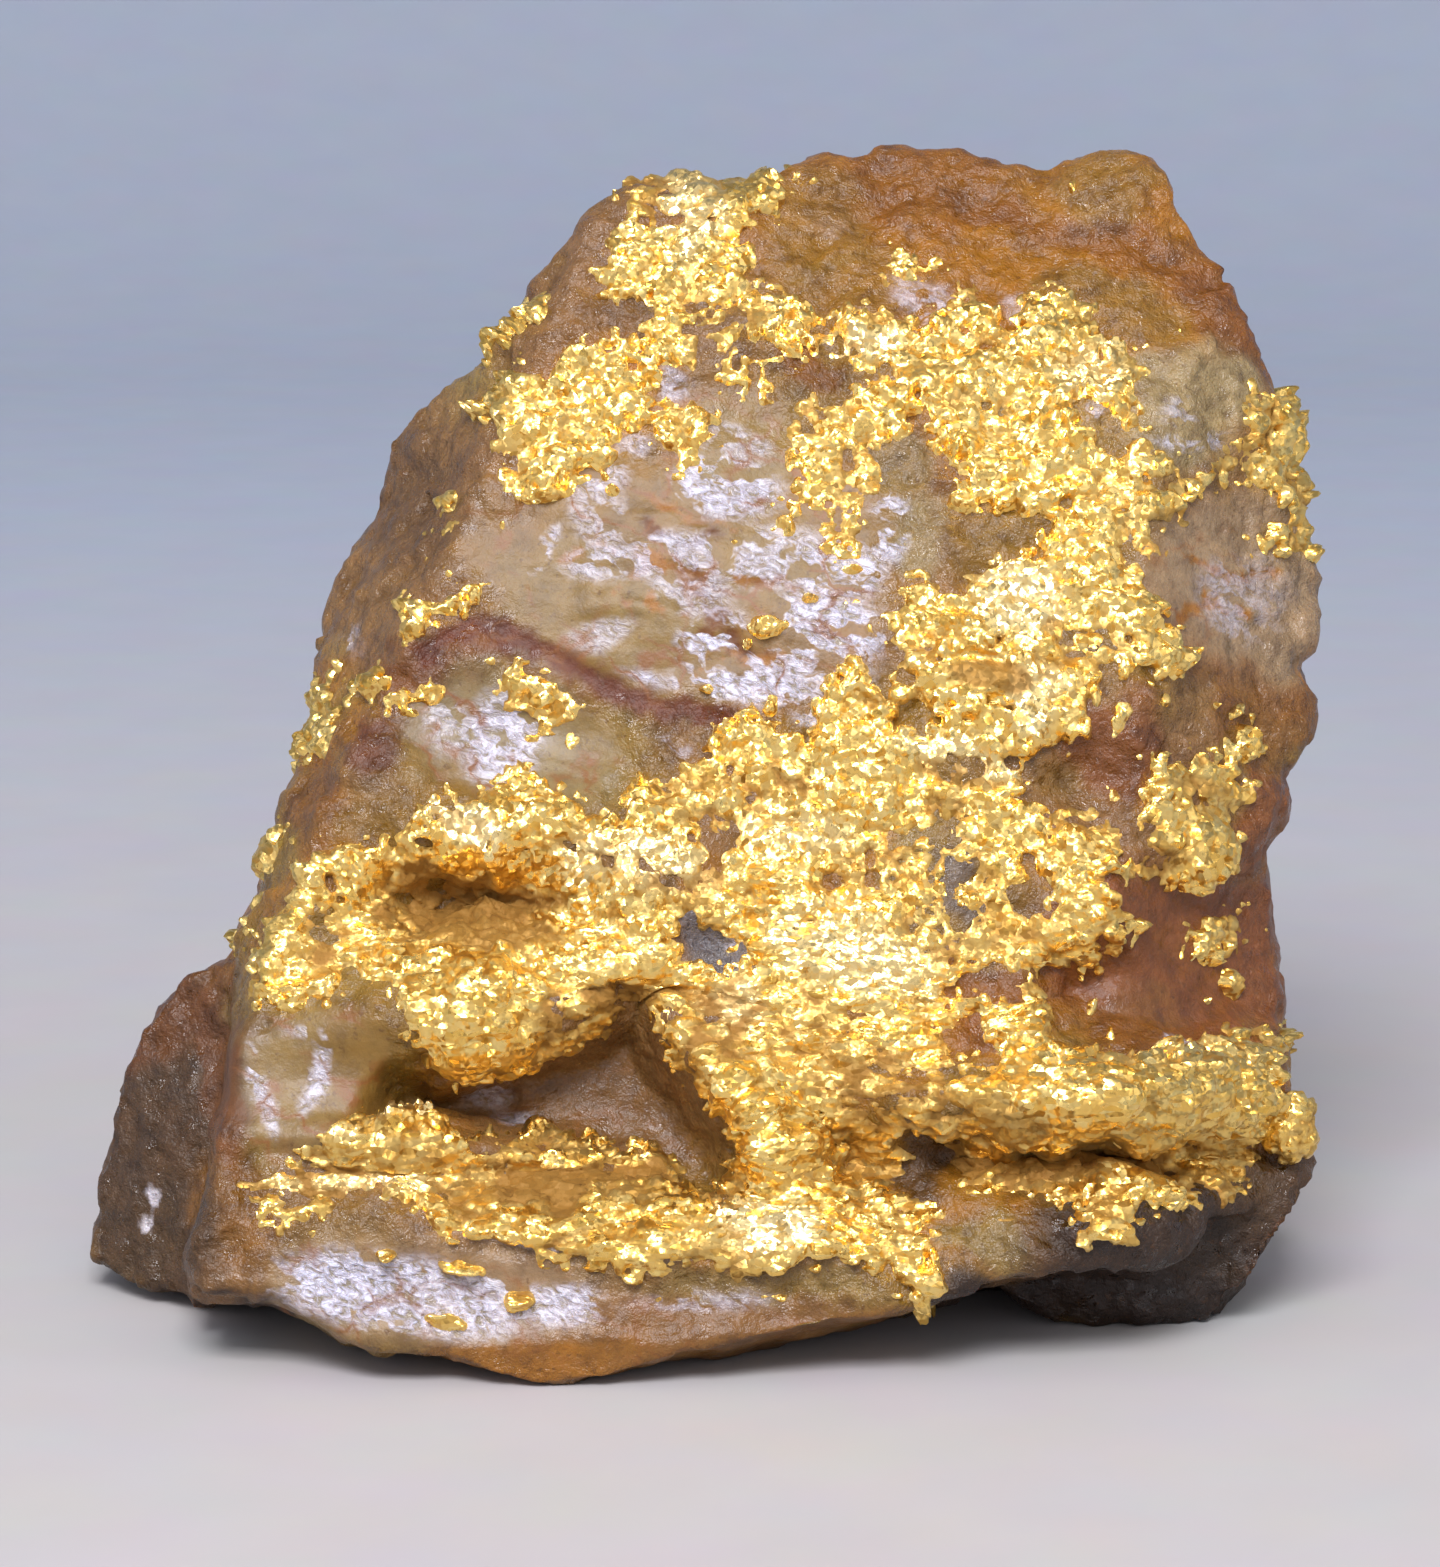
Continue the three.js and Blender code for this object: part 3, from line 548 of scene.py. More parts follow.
# %% Outlines of the crusts
GOLD = {  # how deep it reaches round the edges in mm, its outline, and its holes
    "gold_crust_main": (9.6, [
        [828, 312], [868, 306], [900, 322], [925, 325], [948, 300], [975, 278], [992, 298], [1005, 325],
        [1022, 305], [1036, 285], [1062, 305], [1086, 314], [1100, 342], [1136, 345], [1140, 362],
        [1130, 392], [1143, 428], [1152, 452], [1190, 470], [1220, 460], [1240, 428], [1222, 395],
        [1242, 390], [1300, 398], [1335, 480], [1335, 545], [1300, 560], [1252, 556], [1250, 538],
        [1280, 518], [1262, 484], [1222, 488], [1180, 508], [1180, 524], [1150, 538], [1170, 552],
        [1150, 585], [1162, 625], [1192, 652], [1165, 684], [1130, 672], [1096, 686], [1086, 735],
        [1062, 752], [1040, 748], [1012, 762], [1022, 792], [1045, 812], [1075, 805], [1098, 780],
        [1118, 790], [1128, 822], [1142, 812], [1142, 742], [1180, 748], [1228, 752], [1230, 732],
        [1212, 706], [1236, 710], [1258, 748], [1238, 762], [1248, 798], [1226, 816], [1232, 836],
        [1205, 882], [1160, 886], [1120, 878], [1114, 896], [1130, 930], [1100, 965], [1038, 970],
        [1032, 985], [1056, 1018], [1062, 1038], [1110, 1056], [1190, 1052], [1222, 1040], [1220, 1020],
        [1262, 1028], [1280, 1032], [1276, 1060], [1262, 1090], [1262, 1150], [1240, 1200], [1192, 1206],
        [1136, 1208], [1130, 1246], [1085, 1240], [1070, 1206], [1000, 1192], [945, 1200], [928, 1230],
        [940, 1282], [912, 1298], [880, 1270], [800, 1258], [740, 1278], [690, 1262], [640, 1280],
        [560, 1262], [440, 1226], [400, 1194], [345, 1194], [312, 1230], [262, 1216], [240, 1176],
        [290, 1168], [320, 1130], [362, 1116], [440, 1124], [484, 1146], [545, 1120], [596, 1132],
        [640, 1152], [634, 1127], [674, 1147], [694, 1196], [738, 1168], [740, 1142], [696, 1090],
        [656, 1030], [638, 1010], [605, 1036], [556, 1060], [500, 1068], [444, 1076], [418, 1034], [396, 990],
        [352, 974], [334, 1002], [290, 1012], [254, 1000], [250, 958], [278, 912], [308, 862], [340, 842],
        [396, 838], [452, 794], [520, 764], [580, 800], [622, 816], [640, 778], [700, 762], [716, 724],
        [750, 716], [800, 736], [836, 664], [862, 660], [886, 690], [892, 650], [870, 625], [898, 590],
        [916, 570], [946, 590], [985, 560], [1032, 552], [1036, 522], [1000, 512], [962, 512], [950, 458],
        [916, 408], [900, 430], [880, 455], [882, 488], [862, 512], [870, 546], [844, 562], [826, 546],
        [830, 526], [806, 508], [786, 540], [780, 522], [798, 480], [786, 452], [792, 400], [838, 396],
        [860, 384], [846, 360], [830, 336],
    ], [
        [[1070, 420], [1084, 404], [1112, 420], [1130, 442], [1120, 450], [1082, 440]],
        [[896, 712], [918, 698], [938, 714], [932, 738], [906, 738]],
        [[944, 905], [948, 862], [964, 860], [966, 884], [958, 930], [948, 936]],
        [[1010, 890], [1030, 874], [1052, 886], [1044, 908], [1024, 912]],
        [[668, 936], [692, 922], [722, 928], [746, 958], [728, 968], [684, 950]],
        [[936, 984], [956, 968], [1010, 972], [1034, 1002], [1022, 1008], [972, 988], [948, 1000]],
        [[944, 1030], [972, 1022], [1000, 1058], [976, 1056]],
        [[903, 1134], [944, 1140], [946, 1196], [918, 1190]],
    ]),
    "gold_crown": (11, [
        [622, 186], [664, 150], [778, 150], [794, 192], [774, 222], [748, 212], [762, 280], [790, 298],
        [810, 308], [818, 348], [798, 358], [744, 342], [736, 364], [786, 396], [744, 396], [690, 370],
        [660, 372], [654, 408], [690, 408], [716, 424], [700, 480], [676, 478], [648, 432], [622, 436],
        [604, 478], [572, 482], [545, 508], [500, 496], [488, 460], [494, 436], [478, 404], [498, 376],
        [550, 370], [584, 346], [640, 346], [652, 312], [602, 302], [592, 270], [616, 230],
    ], []),
    "gold_islet_top": (12, [
        [876, 268], [896, 248], [910, 262], [934, 262], [944, 284], [908, 284], [884, 290],
    ], []),
    "gold_edge_upper_left": (9, [
        [550, 296], [552, 314], [512, 350], [462, 376], [424, 420], [400, 410], [440, 360], [500, 290],
    ], []),
    "gold_patch_left_upper": (10, [
        [436, 492], [458, 488], [466, 530], [452, 572], [430, 576], [424, 548], [438, 528],
    ], []),
    "gold_patch_left_lower": (10, [
        [402, 592], [446, 600], [478, 582], [488, 598], [446, 622], [424, 648], [404, 642],
    ], []),
    "gold_island": (8, [
        [484, 672], [512, 658], [548, 672], [592, 704], [572, 752], [540, 742], [516, 716], [490, 704],
    ], []),
    "gold_sliver": (8, [
        [346, 674], [382, 660], [388, 690], [446, 684], [440, 706], [396, 720], [372, 700], [350, 692],
    ], []),
    "gold_edge_left_middle": (9, [
        [296, 690], [334, 678], [346, 706], [330, 766], [296, 764], [262, 790], [262, 750],
    ], []),
    "gold_edge_left_lower": (6.5, [
        [290, 828], [292, 852], [270, 888], [256, 922], [240, 940], [226, 930], [232, 900], [258, 830],
    ], []),
    "gold_column_right": (9, [
        [1178, 926], [1200, 918], [1238, 904], [1250, 928], [1228, 946], [1204, 962], [1184, 958],
    ], []),
}
print("outlines of gold, with their corners:", {name: len(outline) for name, (_, outline, _) in GOLD.items()})

# %% Flecks
FLECKS = [  # square, half width and half height in squares, turn in degrees
    (766, 628, 24, 13, 10), (790, 528, 9, 12, 0), (1120, 712, 9, 26, -20), (1160, 702, 6, 9, 0),
    (1145, 445, 10, 7, 0), (1228, 982, 13, 17, 20), (1204, 1000, 5, 9, 0), (1087, 1010, 7, 10, 0),
    (1107, 1042, 8, 6, 0), (1060, 158, 6, 9, 0), (1070, 185, 5, 12, -15), (1176, 326, 4, 8, 10),
    (812, 180, 7, 6, 0), (460, 514, 9, 9, 0), (613, 494, 10, 7, 0), (504, 528, 5, 9, 0),
    (448, 1318, 20, 9, -8), (520, 1298, 20, 12, -10), (390, 1252, 11, 7, 0), (464, 1266, 26, 8, -8),
    (514, 1240, 14, 6, 0), (658, 1295, 9, 6, 0), (772, 1294, 18, 5, 0), (1004, 1216, 36, 7, -4),
    (398, 940, 18, 5, 0), (705, 692, 9, 7, 0), (770, 706, 9, 14, 0), (748, 644, 6, 6, 0), (735, 545, 6, 5, 0),
    (560, 700, 14, 6, -20), (806, 600, 12, 5, 0), (848, 604, 16, 7, 10), (1240, 940, 8, 8, 0),
    (1190, 1160, 8, 6, 0), (852, 572, 14, 8, 0), (720, 450, 8, 6, 0),
]
print(len(FLECKS), "flecks")

# %% Distance to the edge of the gold
gold_readers = {name: outline_reader(outline, holes, 1.5) for name, (_, outline, holes) in GOLD.items()}


def ragged(points):
    """The wander of a crust's edge, in millimetres: leafy lobes, with finer tatters on them."""
    return 0.15 * soft_noise(points, 0.5, 31, 2) + 0.2 * soft_noise(points, 0.22, 35, 1)


# the leafy edge reaches this far past the outline, which runs along its firm part
GOLD_GROWS = 0.1
FLECKS_REACH, FAR_OFF = 10, 9.0  # how deep flecks lie at most, and a distance for where there are none, mm


def gold_distance(points, name):
    """Distance to the edge of a crust, negative on the gold."""
    x, z = on_survey(points)
    if name == "gold_flecks":
        distance = np.full(len(points), FAR_OFF)
        for column, row, along, across, turn in FLECKS:
            out = in_ellipse(x, z, (column, row), along / SQUARES_PER_MM, across / SQUARES_PER_MM, turn)
            distance = np.minimum(distance, (out - 1) * min(along, across) / SQUARES_PER_MM)
        return np.where(points[:, 1] < FLECKS_REACH, distance, FAR_OFF)
    distance = gold_readers[name](x, z) - GOLD_GROWS
    return np.maximum(distance, (points[:, 1] - GOLD[name][0]) * 0.7)


gold_names = [*GOLD, "gold_flecks"]


def nearest_gold(points):
    """Distance to the edge of the nearest gold of any name."""
    return np.min([gold_distance(points, name) for name in gold_names], 0)


print("of the coarse skin's points,", (nearest_gold(coarse) < 0).sum(), "lie under gold")

# %% [markdown]
# ## Relief of the broken quartz
#
# Quartz has no cleavage, so it breaks into shell-like curved faces with fine ripples, and where it is
# granular it breaks into small flat chips. Both are raised along the surface's normal, by more where the
# stone is rough and less on the glassy faces. Cracks and the dark seam are cut in as grooves.

# %% Smooth places and cracks
SMOOTH_FACES = [  # square, half width and height in mm, turn, how smooth
    ((690, 570), 5.6, 3.4, 0, 0.95), ((510, 740), 2.8, 1.5, -12, 0.95), ((310, 1080), 2.4, 2.0, 0, 0.9),
    ((590, 1110), 3.6, 1.8, 0, 0.4), ((420, 1290), 4.6, 1.3, -4, 0.75), ((1170, 960), 2.9, 2.0, 0, 0.55),
    ((720, 420), 1.8, 1.0, 0, 0.8), ((1220, 590), 2.2, 2.0, 0, 0.6), ((700, 1330), 6.0, 1.0, 0, 0.55),
]
CRACKS = [  # colour, half width in mm, depth in mm, squares along it
    ("seam", 0.36, 0.08, [(430, 655), (455, 640), (482, 628), (515, 640), (560, 660), (600, 685), (640, 700),
                         (690, 714), (735, 722)]),
    ("rust", 0.26, 0.05, [(690, 575), (705, 600), (722, 625), (740, 655), (765, 662)]),
    ("rust", 0.16, 0.08, [(740, 640), (720, 645), (700, 636)]),
    ("rust", 0.12, 0.05, [(640, 525), (672, 545), (700, 548), (725, 535)]),
    ("amber", 0.07, 0.05, [(612, 590), (640, 574), (672, 566), (700, 580), (712, 604)]),
    ("amber", 0.06, 0.05, [(650, 500), (690, 522), (730, 532), (752, 545)]),
    ("amber", 0.06, 0.05, [(740, 585), (772, 582), (800, 590), (835, 596), (865, 604)]),
    ("amber", 0.06, 0.04, [(690, 680), (712, 664), (740, 660), (790, 664), (830, 672)]),
    ("amber", 0.05, 0.04, [(560, 560), (590, 548), (625, 550), (660, 560)]),
    ("amber", 0.05, 0.04, [(600, 600), (640, 600), (680, 612)]),
    ("amber", 0.06, 0.05, [(1190, 560), (1230, 580), (1275, 570)]),
    ("amber", 0.06, 0.05, [(1176, 620), (1210, 600), (1260, 622)]),
    ("pale", 0.09, 0.05, [(158, 1190), (153, 1208), (150, 1226)]),
]
# how far back the cracks run round the edges in mm, and the depths between which the others die away
CRACKS_REACH = 9
GLASSY_FADE, VEILS_AND_SHEEN_FADE, STAINS_FADE = (5.5, 8.5), (6.5, 9.0), (8.5, 14.0)
crack_paths = [millimetres(squares) for *_, squares in CRACKS]
print(len(SMOOTH_FACES), "smooth places and", len(CRACKS), "cracks")


# %% Height of the relief
def strongest(x, z, patches, low, high, wander=0):
    """The strongest of a set of elliptical patches at each place. Each fades out from low to high."""
    found = np.zeros(len(x))
    for square, along, across, turn, strength in patches:
        out = in_ellipse(x, z, square, along, across, turn) + wander
        found = np.maximum(found, strength * (1 - ease(low, high, out)))
    return found


def crack_distances(points):
    """How far points are from each crack in millimetres. The cracks wander a little."""
    x, z = on_survey(points)
    wander = 0.13 * soft_noise(points, 0.6, 88, 3)
    return [distance_to(path, x + wander, z - wander, closed=False)[0] for path in crack_paths]


def smoothness(points):
    """1 on glassy faces, 0 on rough stone."""
    smooth = strongest(*on_survey(points), SMOOTH_FACES, 0.8, 1.15, 0.12 * soft_noise(points, 1.2, 57, 2))
    return smooth * (1 - ease(*GLASSY_FADE, points[:, 1]))


def relief(points):
    """How far the quartz stands out from the plain form, in millimetres."""
    rough = 1 - smoothness(points)
    # waves 2.6 mm long everywhere, and chips of 1.9 and 0.8 mm with grains of 0.55 mm on the rough stone
    height = 0.16 * soft_noise(points, 2.6, 71, 2) * (0.35 + 0.65 * rough)
    height += rough * (0.26 * chips(points, 1.9, 73, 22) + 0.15 * chips(points, 0.8, 77, 18))
    height += rough * 0.06 * soft_noise(points, 0.55, 79, 3)
    # fine curved ripples that run level on the glassy faces
    bend = 0.25 * np.stack([soft_noise(points, 1.3, 81 + i, 1) for i in range(3)], -1)
    height += (1 - rough) * 0.055 * soft_noise(points * (0.45, 0.7, 1.5) + bend, 1.0, 85, 3)
    for (_, width, depth, _), away in zip(CRACKS, crack_distances(points)):
        height -= (points[:, 1] < CRACKS_REACH) * depth * (1 - ease(0.2 * width, width, away))
    return np.clip(height, -0.7, 0.3)


print("the relief spreads by", relief(coarse[::20]).std().round(3), "mm")

# %% Refine the face and raise the relief
TURNED_TO_VIEW, WELL_UNDER = -0.12, -0.45  # depth part of a normal, and distance to the gold's edge in mm
faces_front = slope(coarse)[coarse_quads].mean(1)[:, 1] < TURNED_TO_VIEW
under_gold = nearest_gold(coarse)[coarse_quads].max(1) < WELL_UNDER
stone_base, stone_faces = refine_some(coarse, coarse_quads, faces_front & ~under_gold)
stone_base = settle(stone_base)
stone = stone_base + slope(stone_base) * relief(stone_base)[:, None]
print("quartz:", len(stone), "vertices,", len(stone_faces), "faces,",
      sum(len(face) - 2 for face in stone_faces), "triangles")

# %% [markdown]
# ## Colour of the quartz
#
# Pure quartz is clear to milky. Rust from weathered sulphides soaked in along cracks and between grains,
# which gives honey, amber, red-brown and nearly black stains in soft-edged patches. The patches are placed
# as tinted ellipses, with their edges wandering on noise, and blended into one colour for every vertex.
# A second value marks the milky veils, where healed cracks inside the stone throw the light back; their pale
# bluish colour is painted sheen. The near-black patches on the left block, at the foot and along the bottom
# edge are painted shadow.

# %% Palette
def linear(hex_colour):
    """An sRGB hex colour as linear red, green and blue."""
    value = np.array([int(hex_colour[i:i + 2], 16) for i in (1, 3, 5)]) / 255
    return np.where(value <= 0.04045, value / 12.92, ((value + 0.055) / 1.055) ** 2.4)


# the near-black shade colour is no colour of the stone: it stands for painted shadow
STONE_COLOURS = {
    "honey": "#785a20", "tan": "#806a36", "amber": "#8c5a0c", "rust": "#66380c", "olive": "#7a6128",
    "milk": "#8f7f5a", "rose milk": "#8e775a", "brown": "#75542f", "umber": "#452f17", "maroon": "#562814",
    "red brown": "#6f3d15", "grey olive": "#7d6c47", "orange": "#724c19", "painted shade": "#251306",
    "slate": "#5c5a60", "pale": "#c9c4cc", "seam": "#5a270e",
}
PALETTE = {name: linear(value) for name, value in STONE_COLOURS.items()}
print(len(PALETTE), "colours of stone, of which honey is", PALETTE["honey"].round(3), "in linear light")

# %% Stains
STAINS = [  # colour, square, half width and height in mm, turn, strength
    ("brown", (420, 560), 3.2, 5.2, 30, 0.85), ("umber", (400, 500), 1.2, 2.4, 30, 0.5),
    ("brown", (560, 330), 1.7, 1.6, 40, 0.8), ("umber", (640, 300), 0.6, 1.8, 0, 0.5),
    ("amber", (1010, 230), 7.2, 3.2, -10, 0.95), ("amber", (1200, 330), 2.6, 3.0, 0, 0.9),
    ("rust", (920, 200), 2.7, 0.9, -8, 0.6), ("rust", (1100, 240), 3.4, 0.8, -10, 0.6),
    ("rust", (1225, 330), 0.9, 2.0, 15, 0.75), ("rust", (890, 150), 1.3, 0.6, 0, 0.6),
    ("rust", (975, 150), 1.0, 0.8, 0, 0.7), ("rust", (800, 360), 1.0, 0.7, 0, 0.8),
    ("honey", (1100, 320), 2.3, 0.9, 0, 0.7), ("honey", (1110, 170), 1.3, 1.2, 0, 0.7),
    ("honey", (820, 230), 1.7, 1.4, 0, 0.6), ("honey", (850, 280), 1.8, 0.8, 0, 0.5),
    ("milk", (1185, 405), 1.7, 1.5, 0, 0.85), ("honey", (700, 560), 5.4, 3.3, 0, 0.95),
    ("olive", (560, 600), 1.8, 1.7, 0, 0.6), ("tan", (660, 630), 1.6, 1.0, 0, 0.5),
    ("tan", (780, 560), 1.8, 1.6, 0, 0.4), ("tan", (750, 440), 1.8, 1.2, 0, 0.6),
    ("rust", (440, 665), 1.9, 0.8, 5, 0.8), ("maroon", (376, 738), 0.8, 1.1, 0, 0.85),
    ("rust", (320, 800), 0.6, 1.4, 0, 0.5), ("grey olive", (520, 748), 2.9, 1.5, -10, 0.9),
    ("olive", (620, 740), 1.3, 0.9, 0, 0.8), ("tan", (310, 1080), 2.3, 2.1, 0, 0.6),
    ("honey", (370, 1060), 1.2, 1.9, 0, 0.75), ("brown", (600, 1105), 3.9, 2.2, 0, 0.9),
    ("umber", (650, 1115), 2.4, 1.4, -20, 0.25), ("rose milk", (430, 1290), 4.4, 1.3, -5, 0.7),
    ("orange", (700, 1340), 6.2, 0.7, 2, 0.9), ("tan", (760, 1290), 3.2, 0.45, 0, 0.6),
    ("amber", (520, 1352), 2.6, 0.5, 0, 0.8), ("orange", (1030, 1250), 0.9, 0.5, 0, 0.9),
    ("tan", (970, 1235), 1.1, 0.6, 0, 0.8), ("umber", (165, 1130), 2.2, 4.6, -10, 0.85),
    # painted shade laid over the left block to darken it
    ("painted shade", (165, 1130), 2.2, 4.6, -10, 0.25), ("rust", (150, 1010), 1.6, 1.3, 0, 0.6),
    ("orange", (238, 1215), 0.9, 2.6, 5, 0.75), ("rust", (225, 1060), 0.6, 2.6, 3, 0.6),
    ("rose milk", (1235, 585), 2.3, 2.4, 0, 0.9), ("rust", (1262, 715), 1.3, 1.1, 0, 0.5),
    ("red brown", (1262, 820), 0.9, 1.6, 0, 0.85), ("red brown", (1170, 960), 3.6, 2.6, 0, 0.95),
    ("red brown", (1110, 740), 1.3, 1.3, 0, 0.8), ("red brown", (975, 1010), 1.5, 1.2, 0, 0.7),
    # painted shadow on the foot and along the bottom edge, on this line and the next two
    ("orange", (1130, 1020), 1.5, 0.8, 0, 0.5), ("painted shade", (1190, 1250), 4.6, 1.9, 0, 0.95),
    ("painted shade", (1090, 1305), 3.6, 0.9, 0, 0.95), ("painted shade", (990, 1312), 1.7, 0.9, 0, 0.9),
    ("umber", (1270, 1188), 1.6, 1.0, 0, 0.85), ("painted shade", (240, 1305), 1.6, 0.5, 0, 0.9),
    ("slate", (708, 944), 1.2, 0.8, 0, 0.9), ("slate", (950, 890), 0.7, 1.2, 0, 0.6),
    ("umber", (925, 1165), 0.8, 1.1, 0, 0.9), ("grey olive", (900, 470), 1.2, 1.3, 0, 0.6),
    ("milk", (920, 540), 0.9, 0.9, 0, 0.6),
]
print(len(STAINS), "stains")

# %% Milky veils and their painted sheen
VEILS_AND_SHEEN = [  # square, half width and height in mm, turn, strength
    ((725, 487), 1.5, 0.8, -5, 0.85), ((600, 478), 0.6, 0.8, -30, 0.7), ((740, 445), 0.9, 0.4, 0, 0.5),
    ((598, 520), 0.7, 1.0, 20, 0.45), ((535, 552), 0.9, 0.28, 45, 0.8), ((625, 565), 1.6, 0.5, 0, 0.6),
    ((690, 556), 1.8, 0.6, -6, 0.6), ((770, 560), 1.6, 1.0, 0, 0.65), ((690, 590), 1.1, 0.7, -20, 0.5),
    ((715, 645), 0.9, 0.8, 20, 0.95), ((745, 690), 2.0, 0.6, -4, 0.95), ((835, 575), 1.3, 0.9, 0, 0.9),
    ((830, 632), 1.6, 0.9, -10, 0.95), ((790, 668), 2.0, 0.5, -5, 0.8), ((640, 682), 0.9, 0.35, -12, 0.8),
    ((600, 636), 0.9, 0.4, 10, 0.45), ((885, 530), 0.6, 0.9, 0, 0.8), ((815, 720), 0.8, 0.5, -20, 0.7),
    ((500, 745), 1.1, 1.3, -25, 0.85), ((450, 730), 0.7, 0.8, 0, 0.5), ((670, 750), 0.5, 0.3, 0, 0.5),
    ((270, 1090), 0.28, 1.4, 18, 0.7), ((320, 1070), 0.25, 1.2, -14, 0.7), ((310, 1030), 0.9, 0.25, 0, 0.4),
    ((492, 1090), 0.7, 0.4, 8, 0.5), ((520, 1112), 0.6, 0.25, 0, 0.5), ((400, 1290), 3.4, 1.0, -8, 1.0),
    ((540, 1300), 1.8, 0.5, -6, 0.8), ((580, 1240), 2.6, 0.35, -6, 0.5), ((700, 1300), 1.8, 0.3, 0, 0.4),
    ((836, 215), 0.7, 0.6, 0, 1.0), ((862, 188), 0.3, 0.5, 10, 1.0), ((820, 156), 0.9, 0.25, 0, 0.6),
    ((1158, 182), 0.4, 0.3, 0, 1.0), ((1135, 216), 0.5, 0.25, -40, 1.0), ((1025, 160), 0.3, 0.25, 0, 0.7),
    ((920, 300), 0.9, 0.5, -20, 0.7), ((1010, 312), 0.4, 0.4, 0, 0.6), ((1195, 440), 1.1, 0.25, 0, 0.7),
    ((1180, 412), 0.6, 0.4, 0, 0.4), ((1245, 600), 1.4, 1.2, 0, 0.4), ((1170, 1046), 0.4, 0.25, 0, 0.9),
    ((735, 945), 0.35, 0.3, 0, 0.9), ((665, 390), 0.5, 0.5, -30, 0.6), ((630, 450), 0.4, 0.3, 0, 0.5),
    ((1085, 412), 0.5, 0.25, 0, 0.6), ((870, 205), 0.5, 0.35, -30, 0.5), ((345, 640), 0.5, 0.5, 0, 0.4),
]
print(len(VEILS_AND_SHEEN), "veils")


# %% A colour for every vertex
def tint(colour, name, share):
    """A colour carried some share of the way to one of the palette."""
    return colour + (PALETTE[name] - colour) * share[:, None]


def stone_colours(points):
    """Linear colour, and the strength of the milky veil and its painted sheen, for points of the stone."""
    x, z = on_survey(points)
    across, up = (0.55 * soft_noise(points, 1.5, 101 + i, 3) for i in range(2))
    patch = soft_noise(points, 4.5, 105, 3)
    # patches of a few millimetres first, then the stains, and the cracks over them
    colour = tint(PALETTE["honey"], "brown", ease(-0.3, 0.7, patch))
    colour = tint(colour, "tan", 0.8 * ease(0.25, 0.9, -patch))
    colour = tint(colour, "amber", 0.7 * ease(0.15, 0.6, soft_noise(points, 3.1, 111, 3)))
    near_face = 1 - ease(*STAINS_FADE, points[:, 1])
    for name, *where, strength in STAINS:
        share = strength * (1 - ease(0.7, 1.25, in_ellipse(x + across, z + up, *where)))
        colour = tint(colour, name, share * near_face)
    crack_away = crack_distances(points)
    fray = 0.12 * soft_noise(points, 0.3, 117, 1)
    for (name, width, _, _), away in zip(CRACKS, crack_away):
        share = 0.95 * (1 - ease(0.35 * width, 1.4 * width, away + fray))
        colour = tint(colour, name, share * (points[:, 1] < CRACKS_REACH))
    # where the veils lie, the finish paints a pale bluish sheen
    veil_and_sheen = strongest(x + 0.35 * across, z + 0.35 * up, VEILS_AND_SHEEN, 0.6, 1.2)
    return colour, veil_and_sheen * (1 - ease(*VEILS_AND_SHEEN_FADE, points[:, 1])) * ease(0.35, 0.6, crack_away[0])


stone_colour, stone_veil_and_sheen = stone_colours(stone_base)
print("mean stone colour", stone_colour.mean(0).round(3), "veiled share", (stone_veil_and_sheen > 0.3).mean().round(3))

# %% Turn points and faces into an object
box_low, box_high = (np.array(corner) for corner in cad_box)
TOP_FROM, TOP_EASED = 25.0, 0.020  # above this height in mm the stone is lowered by this share of the square
ATTRIBUTE_FIELDS = {"FLOAT": "value", "FLOAT_VECTOR": "vector", "FLOAT_COLOR": "color"}


def smooth_mesh(name, places, faces, material):
    """A smooth mesh object. Places are in metres."""
    mesh = bpy.data.meshes.new(name)
    mesh.from_pydata(places.tolist(), [], faces)
    mesh.polygons.foreach_set("use_smooth", [True] * len(faces))
    mesh.materials.append(material)
    return put_in_scene(name, mesh)


def make_piece(name, points, faces, material, attributes):
    """A piece of the specimen, kept inside the CAD box, with what its finish needs to know at each point."""
    places = above_table(points)
    places[:, 2] -= TOP_EASED * np.maximum(places[:, 2] - TOP_FROM, 0) ** 2
    print(name, "reaches up to", places[:, 2].max().round(2), "mm")
    made = smooth_mesh(name, np.clip(places * MM, box_low, box_high), faces, material)
    for title, kind, values in attributes:
        layer = made.data.attributes.new(title, kind, "POINT")
        layer.data.foreach_set(ATTRIBUTE_FIELDS[kind], values.astype(np.float32).ravel())
    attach(made, "root")
    return made


print("pieces are kept in a box of", ((box_high - box_low) / MM).round(1), "mm")

# %% [markdown]
# ## Finish of the quartz
#
# Quartz is a glassy mineral: its index is 1.54, its broken faces are shiny, and light goes a millimetre or
# two into it before it comes out again. Subsurface scattering gives that depth. The skin is weathered to a
# satin, which is duller the rustier it is, and only the healed cracks and some clean grains still flash. Bump
# adds the grain that is too fine for the mesh.

# %% One function adds a node
def rgba(colour):
    """The four values of a grey, of a linear colour or of a hex colour."""
    return (*(linear(colour) if isinstance(colour, str) else np.broadcast_to(colour, 3)), 1)


